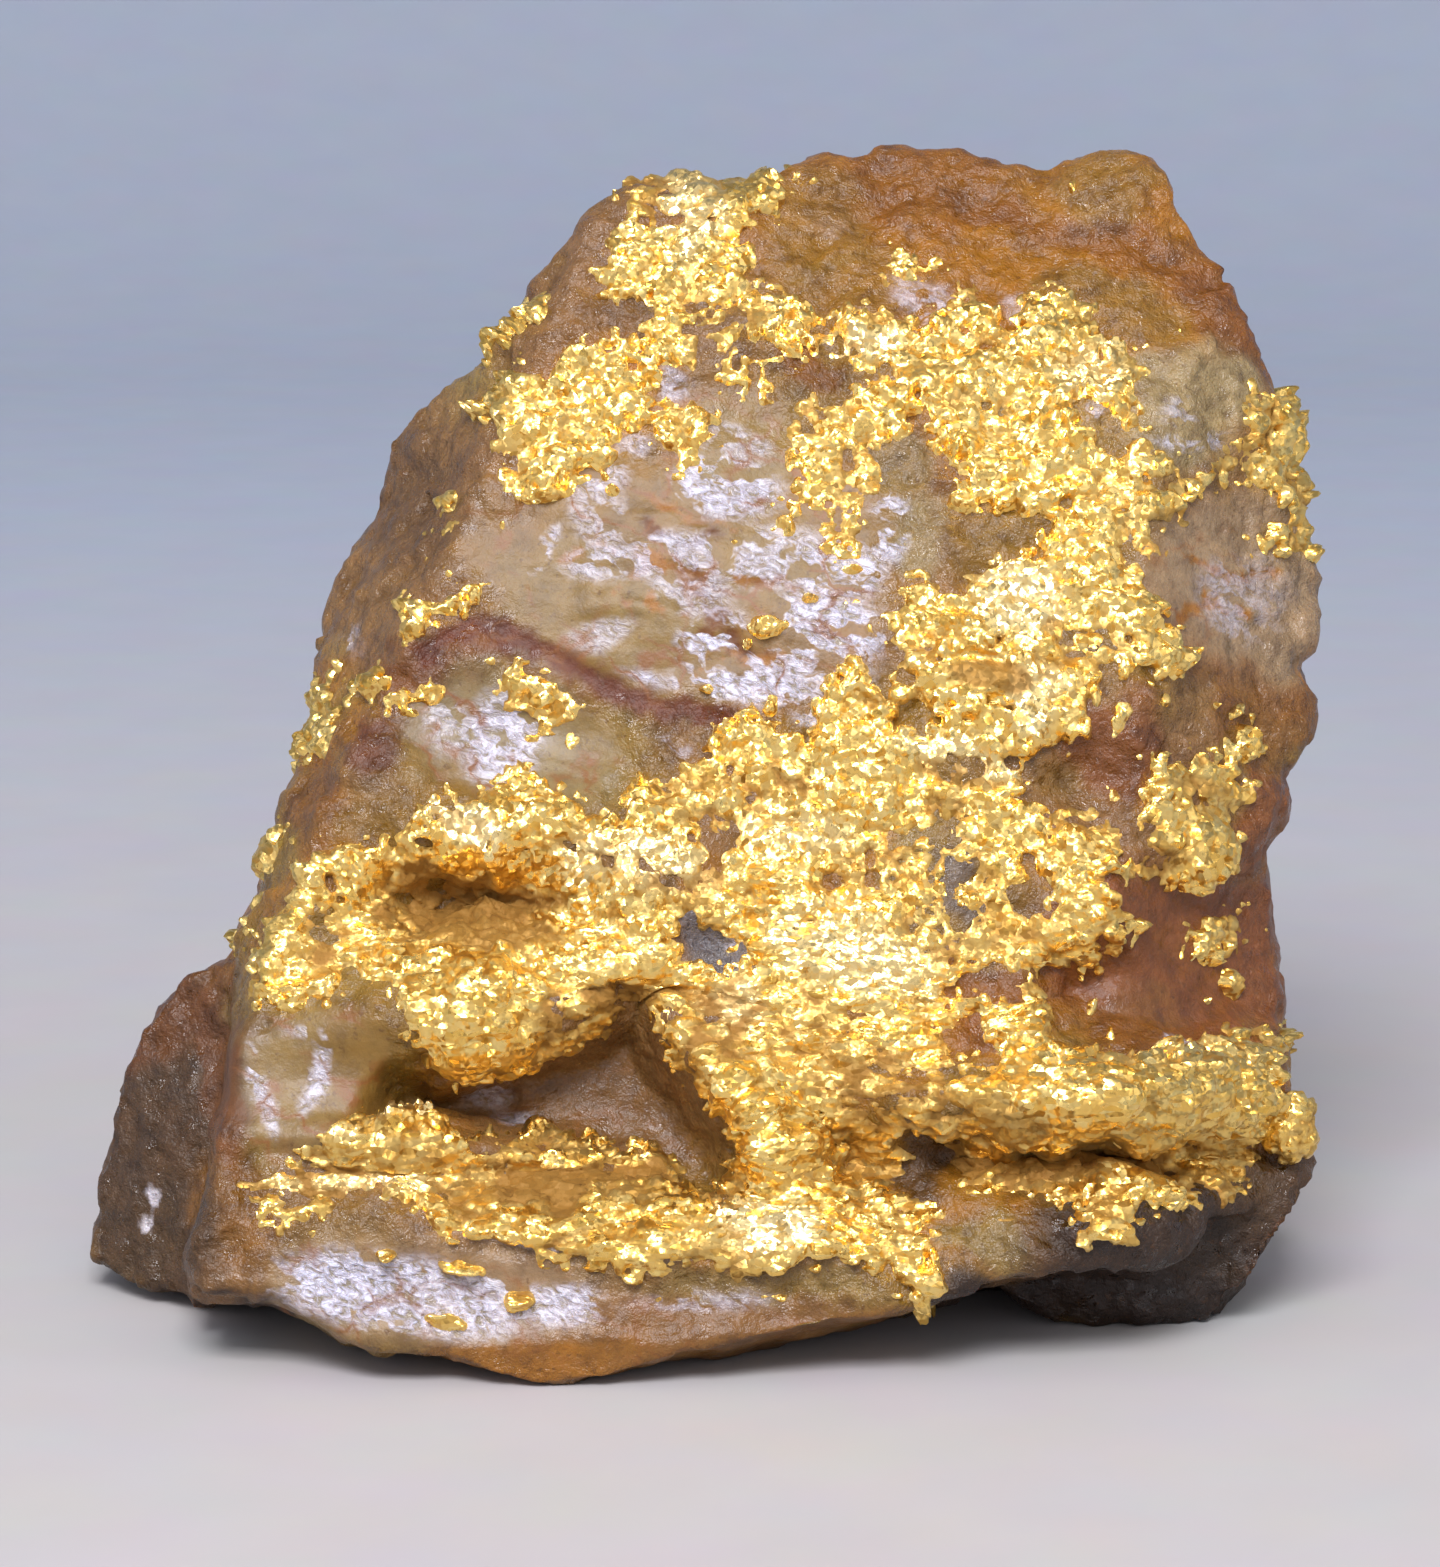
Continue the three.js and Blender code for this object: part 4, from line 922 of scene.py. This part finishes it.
def add_node(tree, kind, inputs=(), stops=(), **settings):
    """Adds a node with its settings, and sets or links each input. Stops are those of a colour ramp.

    An input goes by its name, or by its number where several share one name. A node given as a value stands
    for its first output in use.
    """
    made = tree.nodes.new("ShaderNode" + kind)
    for key, value in settings.items():
        setattr(made, key, value)
    for key, value in dict(inputs).items():
        socket = made.inputs[key] if isinstance(key, int) else next(
            item for item in made.inputs if item.enabled and item.name == key)
        if isinstance(value, bpy.types.Node):
            value = next(item for item in value.outputs if item.enabled)
        if isinstance(value, bpy.types.NodeSocket):
            tree.links.new(value, socket)
        else:
            socket.default_value = rgba(value) if isinstance(value, str) else value
    if stops:
        elements = made.color_ramp.elements
        while len(elements) < len(stops):
            elements.new(0.5)
        for element, (position, colour) in zip(elements, stops):
            element.position, element.color = position, rgba(colour)
    return made


def new_material(name):
    """An empty node material, the function that adds a node to it, and its coordinates in millimetres."""
    material = bpy.data.materials.new(name)
    material.use_nodes = True
    material.node_tree.nodes.clear()
    add = functools.partial(add_node, material.node_tree)
    place = add("TexCoord").outputs["Object"]
    return material, add, add("Mapping", {"Vector": place, "Scale": (1 / MM, 1 / MM, 1 / MM)})


def lean_by_cell(add, normal, cell_colour, amount):
    """A normal that leans its own way in each cell of a pattern."""
    turn = add("VectorMath", {0: cell_colour, 1: (0.5, 0.5, 0.5)}, operation="SUBTRACT")
    return add("VectorMath", {0: turn, 1: amount, 2: normal}, operation="MULTIPLY_ADD")


print("middle grey is", rgba("#808080")[0].round(3), "in linear light")

# %% Iron-stained quartz: its stains
quartz, add, mm = new_material("iron_stained_quartz")
stain = add("Attribute", attribute_name="stain").outputs["Color"]
veil_and_sheen = add("Attribute", attribute_name="veil_and_sheen").outputs["Fac"]
polish = add("Attribute", attribute_name="smooth").outputs["Fac"]
# rust between grains of about two thirds of a millimetre, fainter on glassy faces
mottle = add("TexNoise", {"Vector": mm, "Scale": 1.5, "Detail": 4.0, "Roughness": 0.64})
mottle_tone = add("ValToRGB", {"Fac": mottle}, [(0.32, (0.40, 0.33, 0.26)), (0.5, (1.0, 0.98, 0.93)),
                                                (0.7, (1.45, 1.4, 1.3))])
mottle_share = add("MapRange", {"Value": polish, "To Min": 0.6, "To Max": 0.4})
mottled = add("Mix", {"Factor": mottle_share, "A": stain, "B": mottle_tone}, data_type="RGBA",
              blend_type="MULTIPLY")
# and specks of rust just under 0.2 mm
speck = add("TexNoise", {"Vector": mm, "Scale": 5.5, "Detail": 2.0, "Roughness": 0.6})
speck_share = add("ValToRGB", {"Fac": speck}, [(0.62, 0.0), (0.70, 0.5)])
speckled = add("Mix", {"Factor": speck_share, "A": mottled, "B": "#50300f"}, data_type="RGBA")
# rust lines: fine cracks that run level and wander, about 0.1 mm wide and one to two millimetres apart
level = add("Mapping", {"Vector": mm, "Scale": (1.33, 1.25, 0.74), "Rotation": (0, 0.35, 0)},
            vector_type="TEXTURE")
drift = add("TexNoise", {"Vector": mm, "Scale": 1.3, "Detail": 2.0}).outputs["Color"]
drifted = add("VectorMath", {0: drift, 1: (1.1, 1.1, 1.1), 2: level}, operation="MULTIPLY_ADD")
crack = add("TexVoronoi", {"Vector": drifted, "Scale": 0.7}, feature="DISTANCE_TO_EDGE")
crack_line = add("ValToRGB", {"Fac": crack}, [(0.015, 0.95), (0.05, 0.35), (0.12, 0.0)])
cracked_area = add("TexNoise", {"Vector": mm, "Scale": 0.8, "Detail": 2.0})
cracked_area = add("ValToRGB", {"Fac": cracked_area}, [(0.44, 0.0), (0.58, 0.9)])
crack_line = add("Math", {0: crack_line, 1: cracked_area}, operation="MULTIPLY")
crack_share = add("Math", {0: crack_line, 1: polish}, operation="MULTIPLY")
print("the stains take", len(quartz.node_tree.nodes), "nodes")

# %% Iron-stained quartz: its veils and painted sheen
# healed cracks are crisp islands one to two millimetres across, lying level, with a crinkled glint inside
# that is partly real gloss and partly a painted highlight
island = add("TexNoise", {"Vector": drifted, "Scale": 0.8, "Detail": 3.0, "Roughness": 0.55,
                          "Distortion": 0.5})
islands = add("ValToRGB", {"Fac": island}, [(0.45, 0.0), (0.49, 1.0)])
broken_veil_and_sheen = add("Math", {0: islands, 1: veil_and_sheen}, operation="MULTIPLY")
whole_veil_and_sheen = add("ValToRGB", {"Fac": veil_and_sheen}, [(0.955, 0.0), (0.99, 0.85)])
veil_and_sheen_share = add("Math", {0: broken_veil_and_sheen, 1: whole_veil_and_sheen}, operation="MAXIMUM")
crinkle = add("TexNoise", {"Vector": level, "Scale": 4.2, "Detail": 3.0, "Roughness": 0.6, "Distortion": 0.8})
# the pale bluish veil tone, lighter on the crinkles, is painted sheen and painted highlight
veil_and_sheen_tone = add("ValToRGB", {"Fac": crinkle}, [(0.36, "#8d8270"), (0.5, "#b4b0c0"), (0.62, "#dedeec")])
veiled_and_sheened = add("Mix", {"Factor": veil_and_sheen_share, "A": speckled, "B": veil_and_sheen_tone}, data_type="RGBA")
cracked = add("Mix", {"Factor": crack_share, "A": veiled_and_sheened, "B": "#7c4a16"}, data_type="RGBA")
print("with the veils,", len(quartz.node_tree.nodes), "nodes")

# %% Iron-stained quartz: its gloss and grain
# the faces have a satin skin, and iron oxide is earthy, so the darker the rust the duller the face
satin = add("MapRange", {"Value": polish, "To Min": 0.38, "To Max": 0.5})
rusted = add("ValToRGB", {"Fac": add("RGBToBW", {"Color": stain})}, [(0.015, 0.2), (0.09, 0.0)])
earthy = add("Math", {0: satin, 1: rusted}, operation="ADD")
gloss = add("Mix", {"Factor": veil_and_sheen_share, "A": earthy, "B": 0.2})
# sugary grains of 0.25 mm break the light on rough stone, and one in five is a clean face that sparkles
sugar = add("TexVoronoi", {"Vector": mm, "Scale": 4.2}).outputs["Color"]
clean = add("ValToRGB", {"Fac": add("SeparateXYZ", {"Vector": sugar})}, [(0.78, 0.0), (0.82, 1.0)])
sparkle = add("Math", {0: clean, 1: polish}, operation="SUBTRACT", use_clamp=True)
gloss = add("Mix", {"Factor": sparkle, "A": gloss, "B": 0.18})
# the grain that the mesh is too coarse for, of about 0.3 mm and finer
grain = add("TexNoise", {"Vector": mm, "Scale": 3.6, "Detail": 3.0, "Roughness": 0.7})
grain_share = add("MapRange", {"Value": polish, "To Min": 0.75, "To Max": 0.12})
grain_bump = add("Bump", {"Height": grain, "Distance": 0.2 * MM, "Strength": grain_share})
crinkle_bump = add("Bump", {"Height": crinkle, "Distance": 0.18 * MM, "Strength": veil_and_sheen_share,
                            "Normal": grain_bump})
sugar_share = add("MapRange", {"Value": polish, "To Min": 0.34, "To Max": 0.05})
leaned = lean_by_cell(add, crinkle_bump, sugar, sugar_share)
shader = add("BsdfPrincipled", {
    "Base Color": cracked, "Roughness": gloss, "IOR": 1.54, "Subsurface Weight": 0.25,
    "Subsurface Radius": (1.0, 0.6, 0.3), "Subsurface Scale": 0.8 * MM,
    "Normal": add("VectorMath", {0: leaned}, operation="NORMALIZE")})
add("OutputMaterial", {"Surface": shader})
print("in all,", len(quartz.node_tree.nodes), "nodes")

# %% The quartz piece
quartz_piece = make_piece("quartz_lump", stone, stone_faces, quartz, [
    ("stain", "FLOAT_COLOR", np.insert(stone_colour, 3, 1, axis=1)), ("veil_and_sheen", "FLOAT", stone_veil_and_sheen),
    ("smooth", "FLOAT", smoothness(stone_base))])
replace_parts(quartz_piece, "quartz_matrix")
print("quartz mesh has", len(quartz_piece.data.polygons), "faces")

# %% [markdown]
# ## The gold
#
# The gold is a spongy mat of tiny flakes, 0.15 to 0.25 mm across, and every flake is a mirror that faces its
# own way. The mat is grown from the same skin of quads as the stone, so it follows each hollow and edge. It
# is raised along the normal, its rim dives under the quartz, and a layer of tilted flakes is laid on top. In
# the lower half the flakes lie in thin level leaves, so there their cells are stretched sideways.

# %% Flakes
def flakes(points, size, salt):
    """Height of overlapping tilted flakes of about `size`, as a share of that size."""
    height = np.full(len(points), -9.0)
    for offset, values in near_cells(points, size, salt):
        away = np.sqrt((offset**2).sum(-1)) / size
        tilt = (offset * (values - 0.5)).sum(-1) * 1.5 / size
        height = np.maximum(height, tilt + (values[..., 2] - 0.5) * 0.5 - 5 * np.maximum(away - 0.5, 0))
    return np.maximum(height, -0.7)


print("flakes spread by", flakes(test_places, 2, 1).std().round(3))

# %% Sheltered and rubbed places, with their painted shade and painted highlight
# hollows of the mat, where dust and rust stay on the gold and little light comes in; the finish darkens
# them with that dirt and with painted shade
SHADED_AND_DIRTY_HOLLOWS = [  # square, half width and height in mm, turn, strength
    ((470, 908), 2.8, 1.3, 3, 1.0), ((490, 940), 2.5, 0.9, -4, 0.9), ((425, 868), 0.7, 0.5, 0, 1.0),
    ((622, 994), 1.7, 0.55, -6, 1.0), ((566, 1187), 3.1, 0.7, 3, 1.0), ((420, 1152), 1.5, 0.3, -3, 0.7),
    ((500, 1148), 1.0, 0.3, 10, 0.7), ((1060, 1160), 4.0, 0.8, 0, 1.0), ((1140, 1122), 2.6, 0.35, 0, 0.6),
    ((860, 1150), 1.5, 0.5, -35, 0.8), ((1010, 1112), 1.4, 0.45, 0, 0.8), ((690, 1040), 0.4, 1.4, 30, 0.5),
    ((988, 680), 1.2, 0.5, -10, 0.9), ((930, 380), 1.0, 0.5, 0, 0.5), ((1168, 520), 0.8, 0.3, 0, 0.8),
    ((780, 1060), 1.4, 0.4, -40, 0.6), ((1225, 1150), 0.9, 0.7, 0, 0.7), ((1190, 788), 1.0, 0.35, -10, 0.8),
    ((890, 862), 0.5, 0.3, 0, 0.8), ((1060, 850), 1.2, 0.4, 0, 0.5), ((640, 470), 0.8, 0.3, -20, 0.6),
    ((850, 480), 0.5, 0.4, 0, 0.5),
]
# high places that are rubbed clean, where the crystal faces lie level with each other; there the gold is
# also painted paler, as a painted highlight
BURNISHED_HIGHLIGHTS = [
    ((630, 862), 2.4, 0.75, -6, 0.55), ((470, 822), 1.6, 0.4, -25, 0.8), ((860, 960), 2.6, 1.2, -20, 0.6),
    ((1010, 600), 1.3, 1.1, 0, 0.8), ((1030, 700), 0.9, 0.9, 0, 0.6), ((690, 215), 0.9, 1.6, 15, 0.6),
    ((850, 350), 1.2, 0.5, 0, 0.6), ((760, 1225), 1.6, 0.8, 0, 0.8), ((960, 760), 1.5, 0.5, -20, 0.6),
    ((735, 1010), 1.0, 0.9, 40, 0.7), ((800, 835), 1.6, 0.6, 0, 0.5), ((1190, 1062), 2.0, 0.4, 0, 0.2),
    ((440, 1120), 2.2, 0.22, 8, 0.7), ((360, 1185), 2.4, 0.35, 0, 0.6), ((1090, 380), 0.9, 0.9, 30, 0.5),
]
print(len(SHADED_AND_DIRTY_HOLLOWS), "sheltered places and", len(BURNISHED_HIGHLIGHTS), "rubbed ones")


# %% Height of the gold
def gold_lift(points, normals, distance, hollow_shade_and_dirt):
    """How far the gold stands above the quartz in millimetres, how deep in the mat it is, and how leafy."""
    z = on_survey(points)[1]
    # clumps of 0.62 mm carry grains of 0.27 mm above, and level leaves in the lower half
    leafy = ease(0, 1, (11.5 - z) / 3 + 0.4 * soft_noise(points, 1.5, 119, 1))
    clump = flakes(points * (1, 1, 1.3), 0.62, 123)
    granular = flakes(points, 0.27, 127)
    levels = flakes(points * (0.62, 0.8, 1.9), 0.29, 131)
    fine = granular + (levels - granular) * leafy
    # where the gold is leafy its layers lie over each other like shingles, each with a small step under it
    layer = z / 0.72 + 0.9 * soft_noise(points, 2.2, 151, 2)
    step = leafy * ease(-0.35, 0.5, soft_noise(points, 1.7, 153, 1)) * (layer % 1)
    broad = soft_noise(points, 1.2, 121, 2)
    swell = soft_noise(points, 1.9, 147, 1)
    # the mat is thicker round the edges that show side on, but not on the left, where it is worn thin
    wrapped = ease(-0.55, 0.0, normals[:, 1])
    left = ease(0.3, 0.8, -normals[:, 0])
    body = 0.17 + 0.2 * wrapped * (1 - left) - 0.1 * left + 0.15 * broad + 0.36 * ease(-0.4, 1.1, swell)
    body += 0.15 * clump + 0.2 * (0.5 * leafy - step) + 0.06 * fine * (1 - 0.6 * hollow_shade_and_dirt)
    gap = ease(0.76, 1.1, soft_noise(points, 0.5, 137, 2)) * (1 - leafy) * (1 - hollow_shade_and_dirt)
    rim = -0.14
    lift = rim + (body - rim) * ease(-0.05, 0.4, -distance) - 0.45 * gap
    # how deep a point lies in the mat; the finish darkens the gold by it, partly as rusty dirt and partly as
    # painted shade
    depth = np.clip(0.22 - 0.5 * clump - 0.2 * fine - 0.3 * broad - 0.25 * swell + 0.6 * gap, 0, 1)
    return lift, np.maximum(depth, hollow_shade_and_dirt), leafy


test_lift = gold_lift(test_places, slope(test_places), np.full(len(test_places), -1.0), 0)[0]
print("well inside its edge, the gold stands", test_lift.mean().round(2), "mm high")

# %% Cut the gold from the skin
GOLD_MARGIN = 0.35  # the skin is kept this far past the gold's edge, in mm
FLECK_STEEPNESS, FLECK_RAGGED = 2.5, 0.55  # a fleck is small, so its rim is steeper and less ragged
gold_skin, gold_skin_quads = coarse, coarse_quads
for rounds in (2, 1):
    near = nearest_gold(gold_skin)[gold_skin_quads].min(1) < GOLD_MARGIN
    gold_skin, gold_skin_quads, _ = quarter(*only_used(gold_skin, gold_skin_quads[near])[:2])
    gold_skin = settle(gold_skin, rounds)
gold_normals = slope(gold_skin)
owners = np.stack([gold_distance(gold_skin, name) for name in gold_names])
owner = owners.argmin(0)
is_fleck = owner == gold_names.index("gold_flecks")
gold_edge = (np.where(is_fleck, FLECK_STEEPNESS, 1) * owners.min(0)
             + np.where(is_fleck, FLECK_RAGGED, 1) * ragged(gold_skin))
place = on_survey(gold_skin)
hollow_shade_and_dirt = strongest(*place, SHADED_AND_DIRTY_HOLLOWS, 0.6, 1.15, 0.2 * soft_noise(gold_skin, 0.7, 143, 2))
burnish_highlight = strongest(*place, BURNISHED_HIGHLIGHTS, 0.4, 1.2, 0.25 * soft_noise(gold_skin, 0.8, 149, 2))
lift, mat_depth, leafiness = gold_lift(gold_skin, gold_normals, gold_edge, hollow_shade_and_dirt)
gold_points = gold_skin + gold_normals * (relief(gold_skin) + lift)[:, None]
print("gold skin:", len(gold_skin), "vertices before trimming")

# %% [markdown]
# ## Finish of the gold
#
# Native gold is a soft metal that doesn't tarnish. Its colour is all in its reflections, so the base colour
# is the reflectance, and metallic is 1 where the gold is bare. Each grain gets its own turned normal from a
# cell pattern, which breaks the light into separate sparks. Rusty dirt and painted shade sit between the
# flakes: they darken the mat where it is deep, and the dirt is no metal. The rubbed high places are painted
# paler, a painted highlight.

# %% Native gold
gold, add, mm = new_material("native_gold")
deep = add("Attribute", attribute_name="mat_depth").outputs["Fac"]
leaf = add("Attribute", attribute_name="leafy").outputs["Fac"]
rubbed_highlight = add("Attribute", attribute_name="burnish_highlight").outputs["Fac"]
skin_normal = add("Attribute", attribute_name="skin_normal").outputs["Vector"]
# grains of 0.22 mm, and level leaves about 0.35 by 0.14 mm, each turned its own way
stretched = add("Mapping", {"Vector": mm, "Scale": (0.62, 0.8, 1.6), "Rotation": (0, 0.1, 0)})
grains = add("TexVoronoi", {"Vector": mm, "Scale": 4.6}).outputs["Color"]
leaves = add("TexVoronoi", {"Vector": stretched, "Scale": 4.6}).outputs["Color"]
cells = add("Mix", {"Factor": leaf, "A": grains, "B": leaves}, data_type="RGBA")
# and crystal faces of 0.11 mm on them, turned less
facets = add("TexVoronoi", {"Vector": mm, "Scale": 9.0}).outputs["Color"]
# a crystal face is flat, so it follows the plain skin below as well as the relief, most of all where rubbed
flatter = add("MapRange", {"Value": rubbed_highlight, "To Min": 0.35, "To Max": 0.7})
facing = add("Mix", {"Factor": flatter, "A": add("NewGeometry").outputs["Normal"], "B": skin_normal},
             data_type="VECTOR")
leaned = lean_by_cell(add, facing, cells, (0.8, 0.8, 0.8))
leaned = lean_by_cell(add, leaned, facets, (0.42, 0.42, 0.42))
# every grain has its own tone and polish
grain_tone = add("SeparateXYZ", {"Vector": cells})
metal = add("Mix", {"Factor": grain_tone, "A": "#f2c25c", "B": "#ffe08c"}, data_type="RGBA")
# on the rubbed places the gold is painted paler: a painted highlight
metal = add("Mix", {"Factor": rubbed_highlight, "A": metal, "B": "#ffe9ab"}, data_type="RGBA")
# the deeper in the mat, the more the colour goes to dark amber: rusty dirt and painted shade together
dirt_and_shade = add("ValToRGB", {"Fac": deep}, [(0.38, 0.0), (0.95, 0.95)])
dirt_and_shade_tint = add("Mix", {"Factor": dirt_and_shade, "A": metal, "B": "#946a28"}, data_type="RGBA")
# clay and rust in the hollows are no metal, so they dull the gold they lie on
bare_metal = add("ValToRGB", {"Fac": deep}, [(0.38, 1.0), (0.75, 0.72), (1.0, 0.4)])
grain_polish = add("MapRange", {"Value": grain_tone.outputs["Y"], "To Min": 0.24, "To Max": 0.38})
clay = add("ValToRGB", {"Fac": deep}, [(0.38, 0.0), (0.75, 0.15), (1.0, 0.42)])
dulled = add("Math", {0: clay, 1: grain_polish}, operation="ADD")
shader = add("BsdfPrincipled", {
    "Base Color": dirt_and_shade_tint, "Metallic": bare_metal, "Roughness": dulled,
    "Normal": add("VectorMath", {0: leaned}, operation="NORMALIZE")})
add("OutputMaterial", {"Surface": shader})
print("native gold takes", len(gold.node_tree.nodes), "nodes")

# %% Gold pieces
LEVEL_FACE = np.array([-0.05, -0.87, 0.49])  # rubbed faces lie this way: towards the viewer and a little up
SPLIT = 9.0  # the main crust is one CAD solid, shown as two meshes that share their edge at this height
quad_owner = owner[gold_skin_quads[:, 0]]
kept = gold_edge[gold_skin_quads].min(1) < 0.05
quad_high = on_survey(gold_skin[gold_skin_quads[:, 0]])[1] > SPLIT


def gold_object(name, points, faces, depth, leafy, rubbed_highlight, outwards):
    """A piece of gold with what its finish needs to know at each point."""
    made = make_piece(name, points, faces.tolist(), gold, [
        ("mat_depth", "FLOAT", depth), ("leafy", "FLOAT", leafy), ("burnish_highlight", "FLOAT", rubbed_highlight),
        ("skin_normal", "FLOAT_VECTOR", outwards)])
    print(name, 2 * len(faces), "triangles")
    return made


def crust(name, own):
    """A piece of gold made of some of the trimmed quads."""
    points, faces, used = only_used(gold_points, gold_skin_quads[own])
    outwards = above_table(gold_normals[used]) - BASE_ORIGIN
    outwards += 0.9 * burnish_highlight[used, None] * (LEVEL_FACE - outwards)
    return gold_object(name, points, faces, mat_depth[used], leafiness[used], burnish_highlight[used], outwards)


for number, name in enumerate(GOLD):
    own = kept & (quad_owner == number)
    if name == "gold_crust_main":
        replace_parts(crust(name + "_upper", own & quad_high), name)
        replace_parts(crust(name + "_lower", own & ~quad_high), name)
    else:
        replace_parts(crust(name + "_leaf", own), name)
crust("gold_flecks_leaf", kept & (quad_owner == gold_names.index("gold_flecks")))

# %% [markdown]
# ## The nugget beside the ledge
#
# One rounded grain stands apart at the right edge. It is an egg shape of quads, made from a cube whose faces
# are cut fine and pushed out to the egg, with the same flakes laid over it.

# %% Nugget
NUGGET_SQUARE, NUGGET_DEPTH, NUGGET_TURN = (1297, 1130), 5.0, 12
NUGGET_RADII, NUGGET_STEPS = (0.72, 0.75, 1.02), 29
steps = np.linspace(-1, 1, NUGGET_STEPS)
u, v = (axis.ravel() for axis in np.meshgrid(steps, steps, indexing="ij"))
grid = np.arange(len(u)).reshape(len(steps), -1)
side_quads = np.stack([grid[:-1, :-1], grid[1:, :-1], grid[1:, 1:], grid[:-1, 1:]], -1).reshape(-1, 4)
sides, cube_quads = [], []
for axis, sign in itertools.product(range(3), (-1, 1)):
    cube_quads.append(side_quads[:, ::sign] + len(sides) * len(u))
    sides.append(np.roll(np.stack([np.full(len(u), float(sign)), u, v], -1), axis, 1))
places, same = np.unique(np.round(np.concatenate(sides), 6), axis=0, return_inverse=True)
nugget_faces = same.ravel()[np.concatenate(cube_quads)]
turn = np.array(Matrix.Rotation(np.radians(NUGGET_TURN), 3, "Y"))
outwards = places / np.linalg.norm(places, axis=1)[:, None]
middle = np.insert(millimetres(NUGGET_SQUARE), 1, NUGGET_DEPTH)
nugget_points = (outwards * NUGGET_RADII) @ turn.T + middle
outwards = outwards @ turn.T
# the same clumps and grains as on the crusts
nugget_relief = (0.14 * flakes(nugget_points, 0.62, 123) + 0.07 * flakes(nugget_points, 0.27, 127)
                 + 0.08 * soft_noise(nugget_points, 0.9, 141, 2))
nugget_points += outwards * nugget_relief[:, None]
plain = np.zeros(len(places))
# the nugget's low places count as deep, so the finish darkens them with dirt and painted shade
nugget = gold_object("gold_nugget_leaf", nugget_points, nugget_faces, np.clip(0.3 - 3 * nugget_relief, 0, 1),
                     plain + 0.5, plain, above_table(outwards) - BASE_ORIGIN)
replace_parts(nugget, "gold_nugget_right")

# %% [markdown]
# ## Table, backdrop and light
#
# The specimen stands on a plain pale card that curves up into a wall behind it and at its sides, and runs out
# level in front. The wall stands further off than any view of the specimen is taken from, so it hides
# nothing. A shiny face shows whatever it mirrors. So one small bright window, in front and above, gives the
# gold its sparks and the quartz its pale sheen, with a dim halo round it. Cards at the sides and overhead
# fill what the window leaves dark, and a weak cool room fills the rest.

# %% Stage
pale_card, add, mm = new_material("matt_pale_card")
fibres = add("TexNoise", {"Vector": mm, "Scale": 0.25, "Detail": 3.0}).outputs["Color"]
# the card is pale grey round the specimen, and turns blue-grey with distance
away = add("VectorMath", {0: mm, 1: (0, -60, 0)}, operation="DISTANCE")
fading = add("MapRange", {"Value": away, "From Min": 80.0, "From Max": 190.0})
card = add("ValToRGB", {"Fac": fading}, [(0.0, "#b4b1b1"), (1.0, "#b3bccb")])
fibred = add("Mix", {"Factor": 0.06, "A": card, "B": fibres}, data_type="RGBA")
add("OutputMaterial", {"Surface": add("BsdfPrincipled", {"Base Color": fibred, "Roughness": 0.9})})
WALL_OFF, BEND, TALL, LOW = 0.30, 0.12, 0.43, 0.02  # the wall's distance, its bend, and its height, in metres
FLOOR_BELOW, RUN_OUT = 0.02 * MM, 0.07
FLOOR = np.array([0.02, 0.08, 0.13])  # rings of the floor, out from the middle
bend = np.radians(np.arange(0, 91, 7.5))
straight = np.linspace(0.2, 1, 5)
rings = []
for way in np.radians(np.arange(0, 360, 4)):
    upright = ease(-0.75, -0.4, np.sin(way))  # 1 behind and beside the specimen, 0 in front
    tall = LOW + (TALL - LOW) * ease(0.2, 0.8, np.sin(way))
    reach = np.concatenate([FLOOR, WALL_OFF - BEND + BEND * np.sin(bend), np.full(len(straight), WALL_OFF)])
    rise = np.concatenate([0 * FLOOR, BEND - BEND * np.cos(bend), BEND + tall * straight])
    level_reach = np.concatenate([FLOOR, WALL_OFF - BEND + BEND * bend, WALL_OFF + RUN_OUT + TALL * straight])
    reach = upright * reach + (1 - upright) * level_reach
    rings.append(np.stack([reach * np.cos(way), reach * np.sin(way), upright * rise - FLOOR_BELOW], 1))
rings = np.array(rings)
count, across = rings.shape[:2]
first = across * np.arange(count)
strips = [(a + j, a + j + 1, b + j + 1, b + j)
          for a, b in zip(first.tolist(), np.roll(first, -1).tolist()) for j in range(across - 1)]
stage = smooth_mesh("backdrop", rings.reshape(-1, 3), [*strips, tuple(first.tolist())], pale_card)
print("backdrop has", len(stage.data.polygons), "faces")

# %% Lights
TARGET = Vector((0, -0.004, 0.013))
LIGHTS = [  # name, azimuth and elevation in degrees, distance and size in metres, brightness, colour
    ("window", -8, 47, 0.30, (0.15, 0.10), 22.0, "#fbf9ff"),
    ("halo", 0, 38, 0.32, (0.50, 0.40), 0.65, "#fbf8ff"),
    ("left_card", -75, 30, 0.30, (0.20, 0.25), 0.9, "#f4f2ff"),
    ("top_card", 0, 82, 0.30, (0.30, 0.30), 0.35, "#fff4e4"),
    ("right_card", 70, 30, 0.30, (0.20, 0.25), 0.9, "#fff8f0"),
]
for name, azimuth, elevation, distance, size, radiance, colour in LIGHTS:
    light = bpy.data.lights.new(name, "AREA")
    light.shape = "RECTANGLE"
    light.size, light.size_y = size
    light.energy = radiance * np.pi * size[0] * size[1]
    light.color = linear(colour)
    lamp = put_in_scene(name, light)
    turned, raised = np.radians([azimuth, elevation])
    away = Vector((np.sin(turned) * np.cos(raised), -np.cos(turned) * np.cos(raised), np.sin(raised)))
    lamp.location = TARGET + away * distance
    lamp.rotation_euler = away.to_track_quat("Z", "Y").to_euler()
world = bpy.data.worlds.new("cool_room")
world.use_nodes = True
room = world.node_tree.nodes["Background"]
room.inputs["Color"].default_value = rgba("#d9dae4")
room.inputs["Strength"].default_value = 0.3
bpy.context.scene.world = world
bpy.context.scene.view_settings.view_transform = "Standard"
print("lights:", [name for name, *_ in LIGHTS])
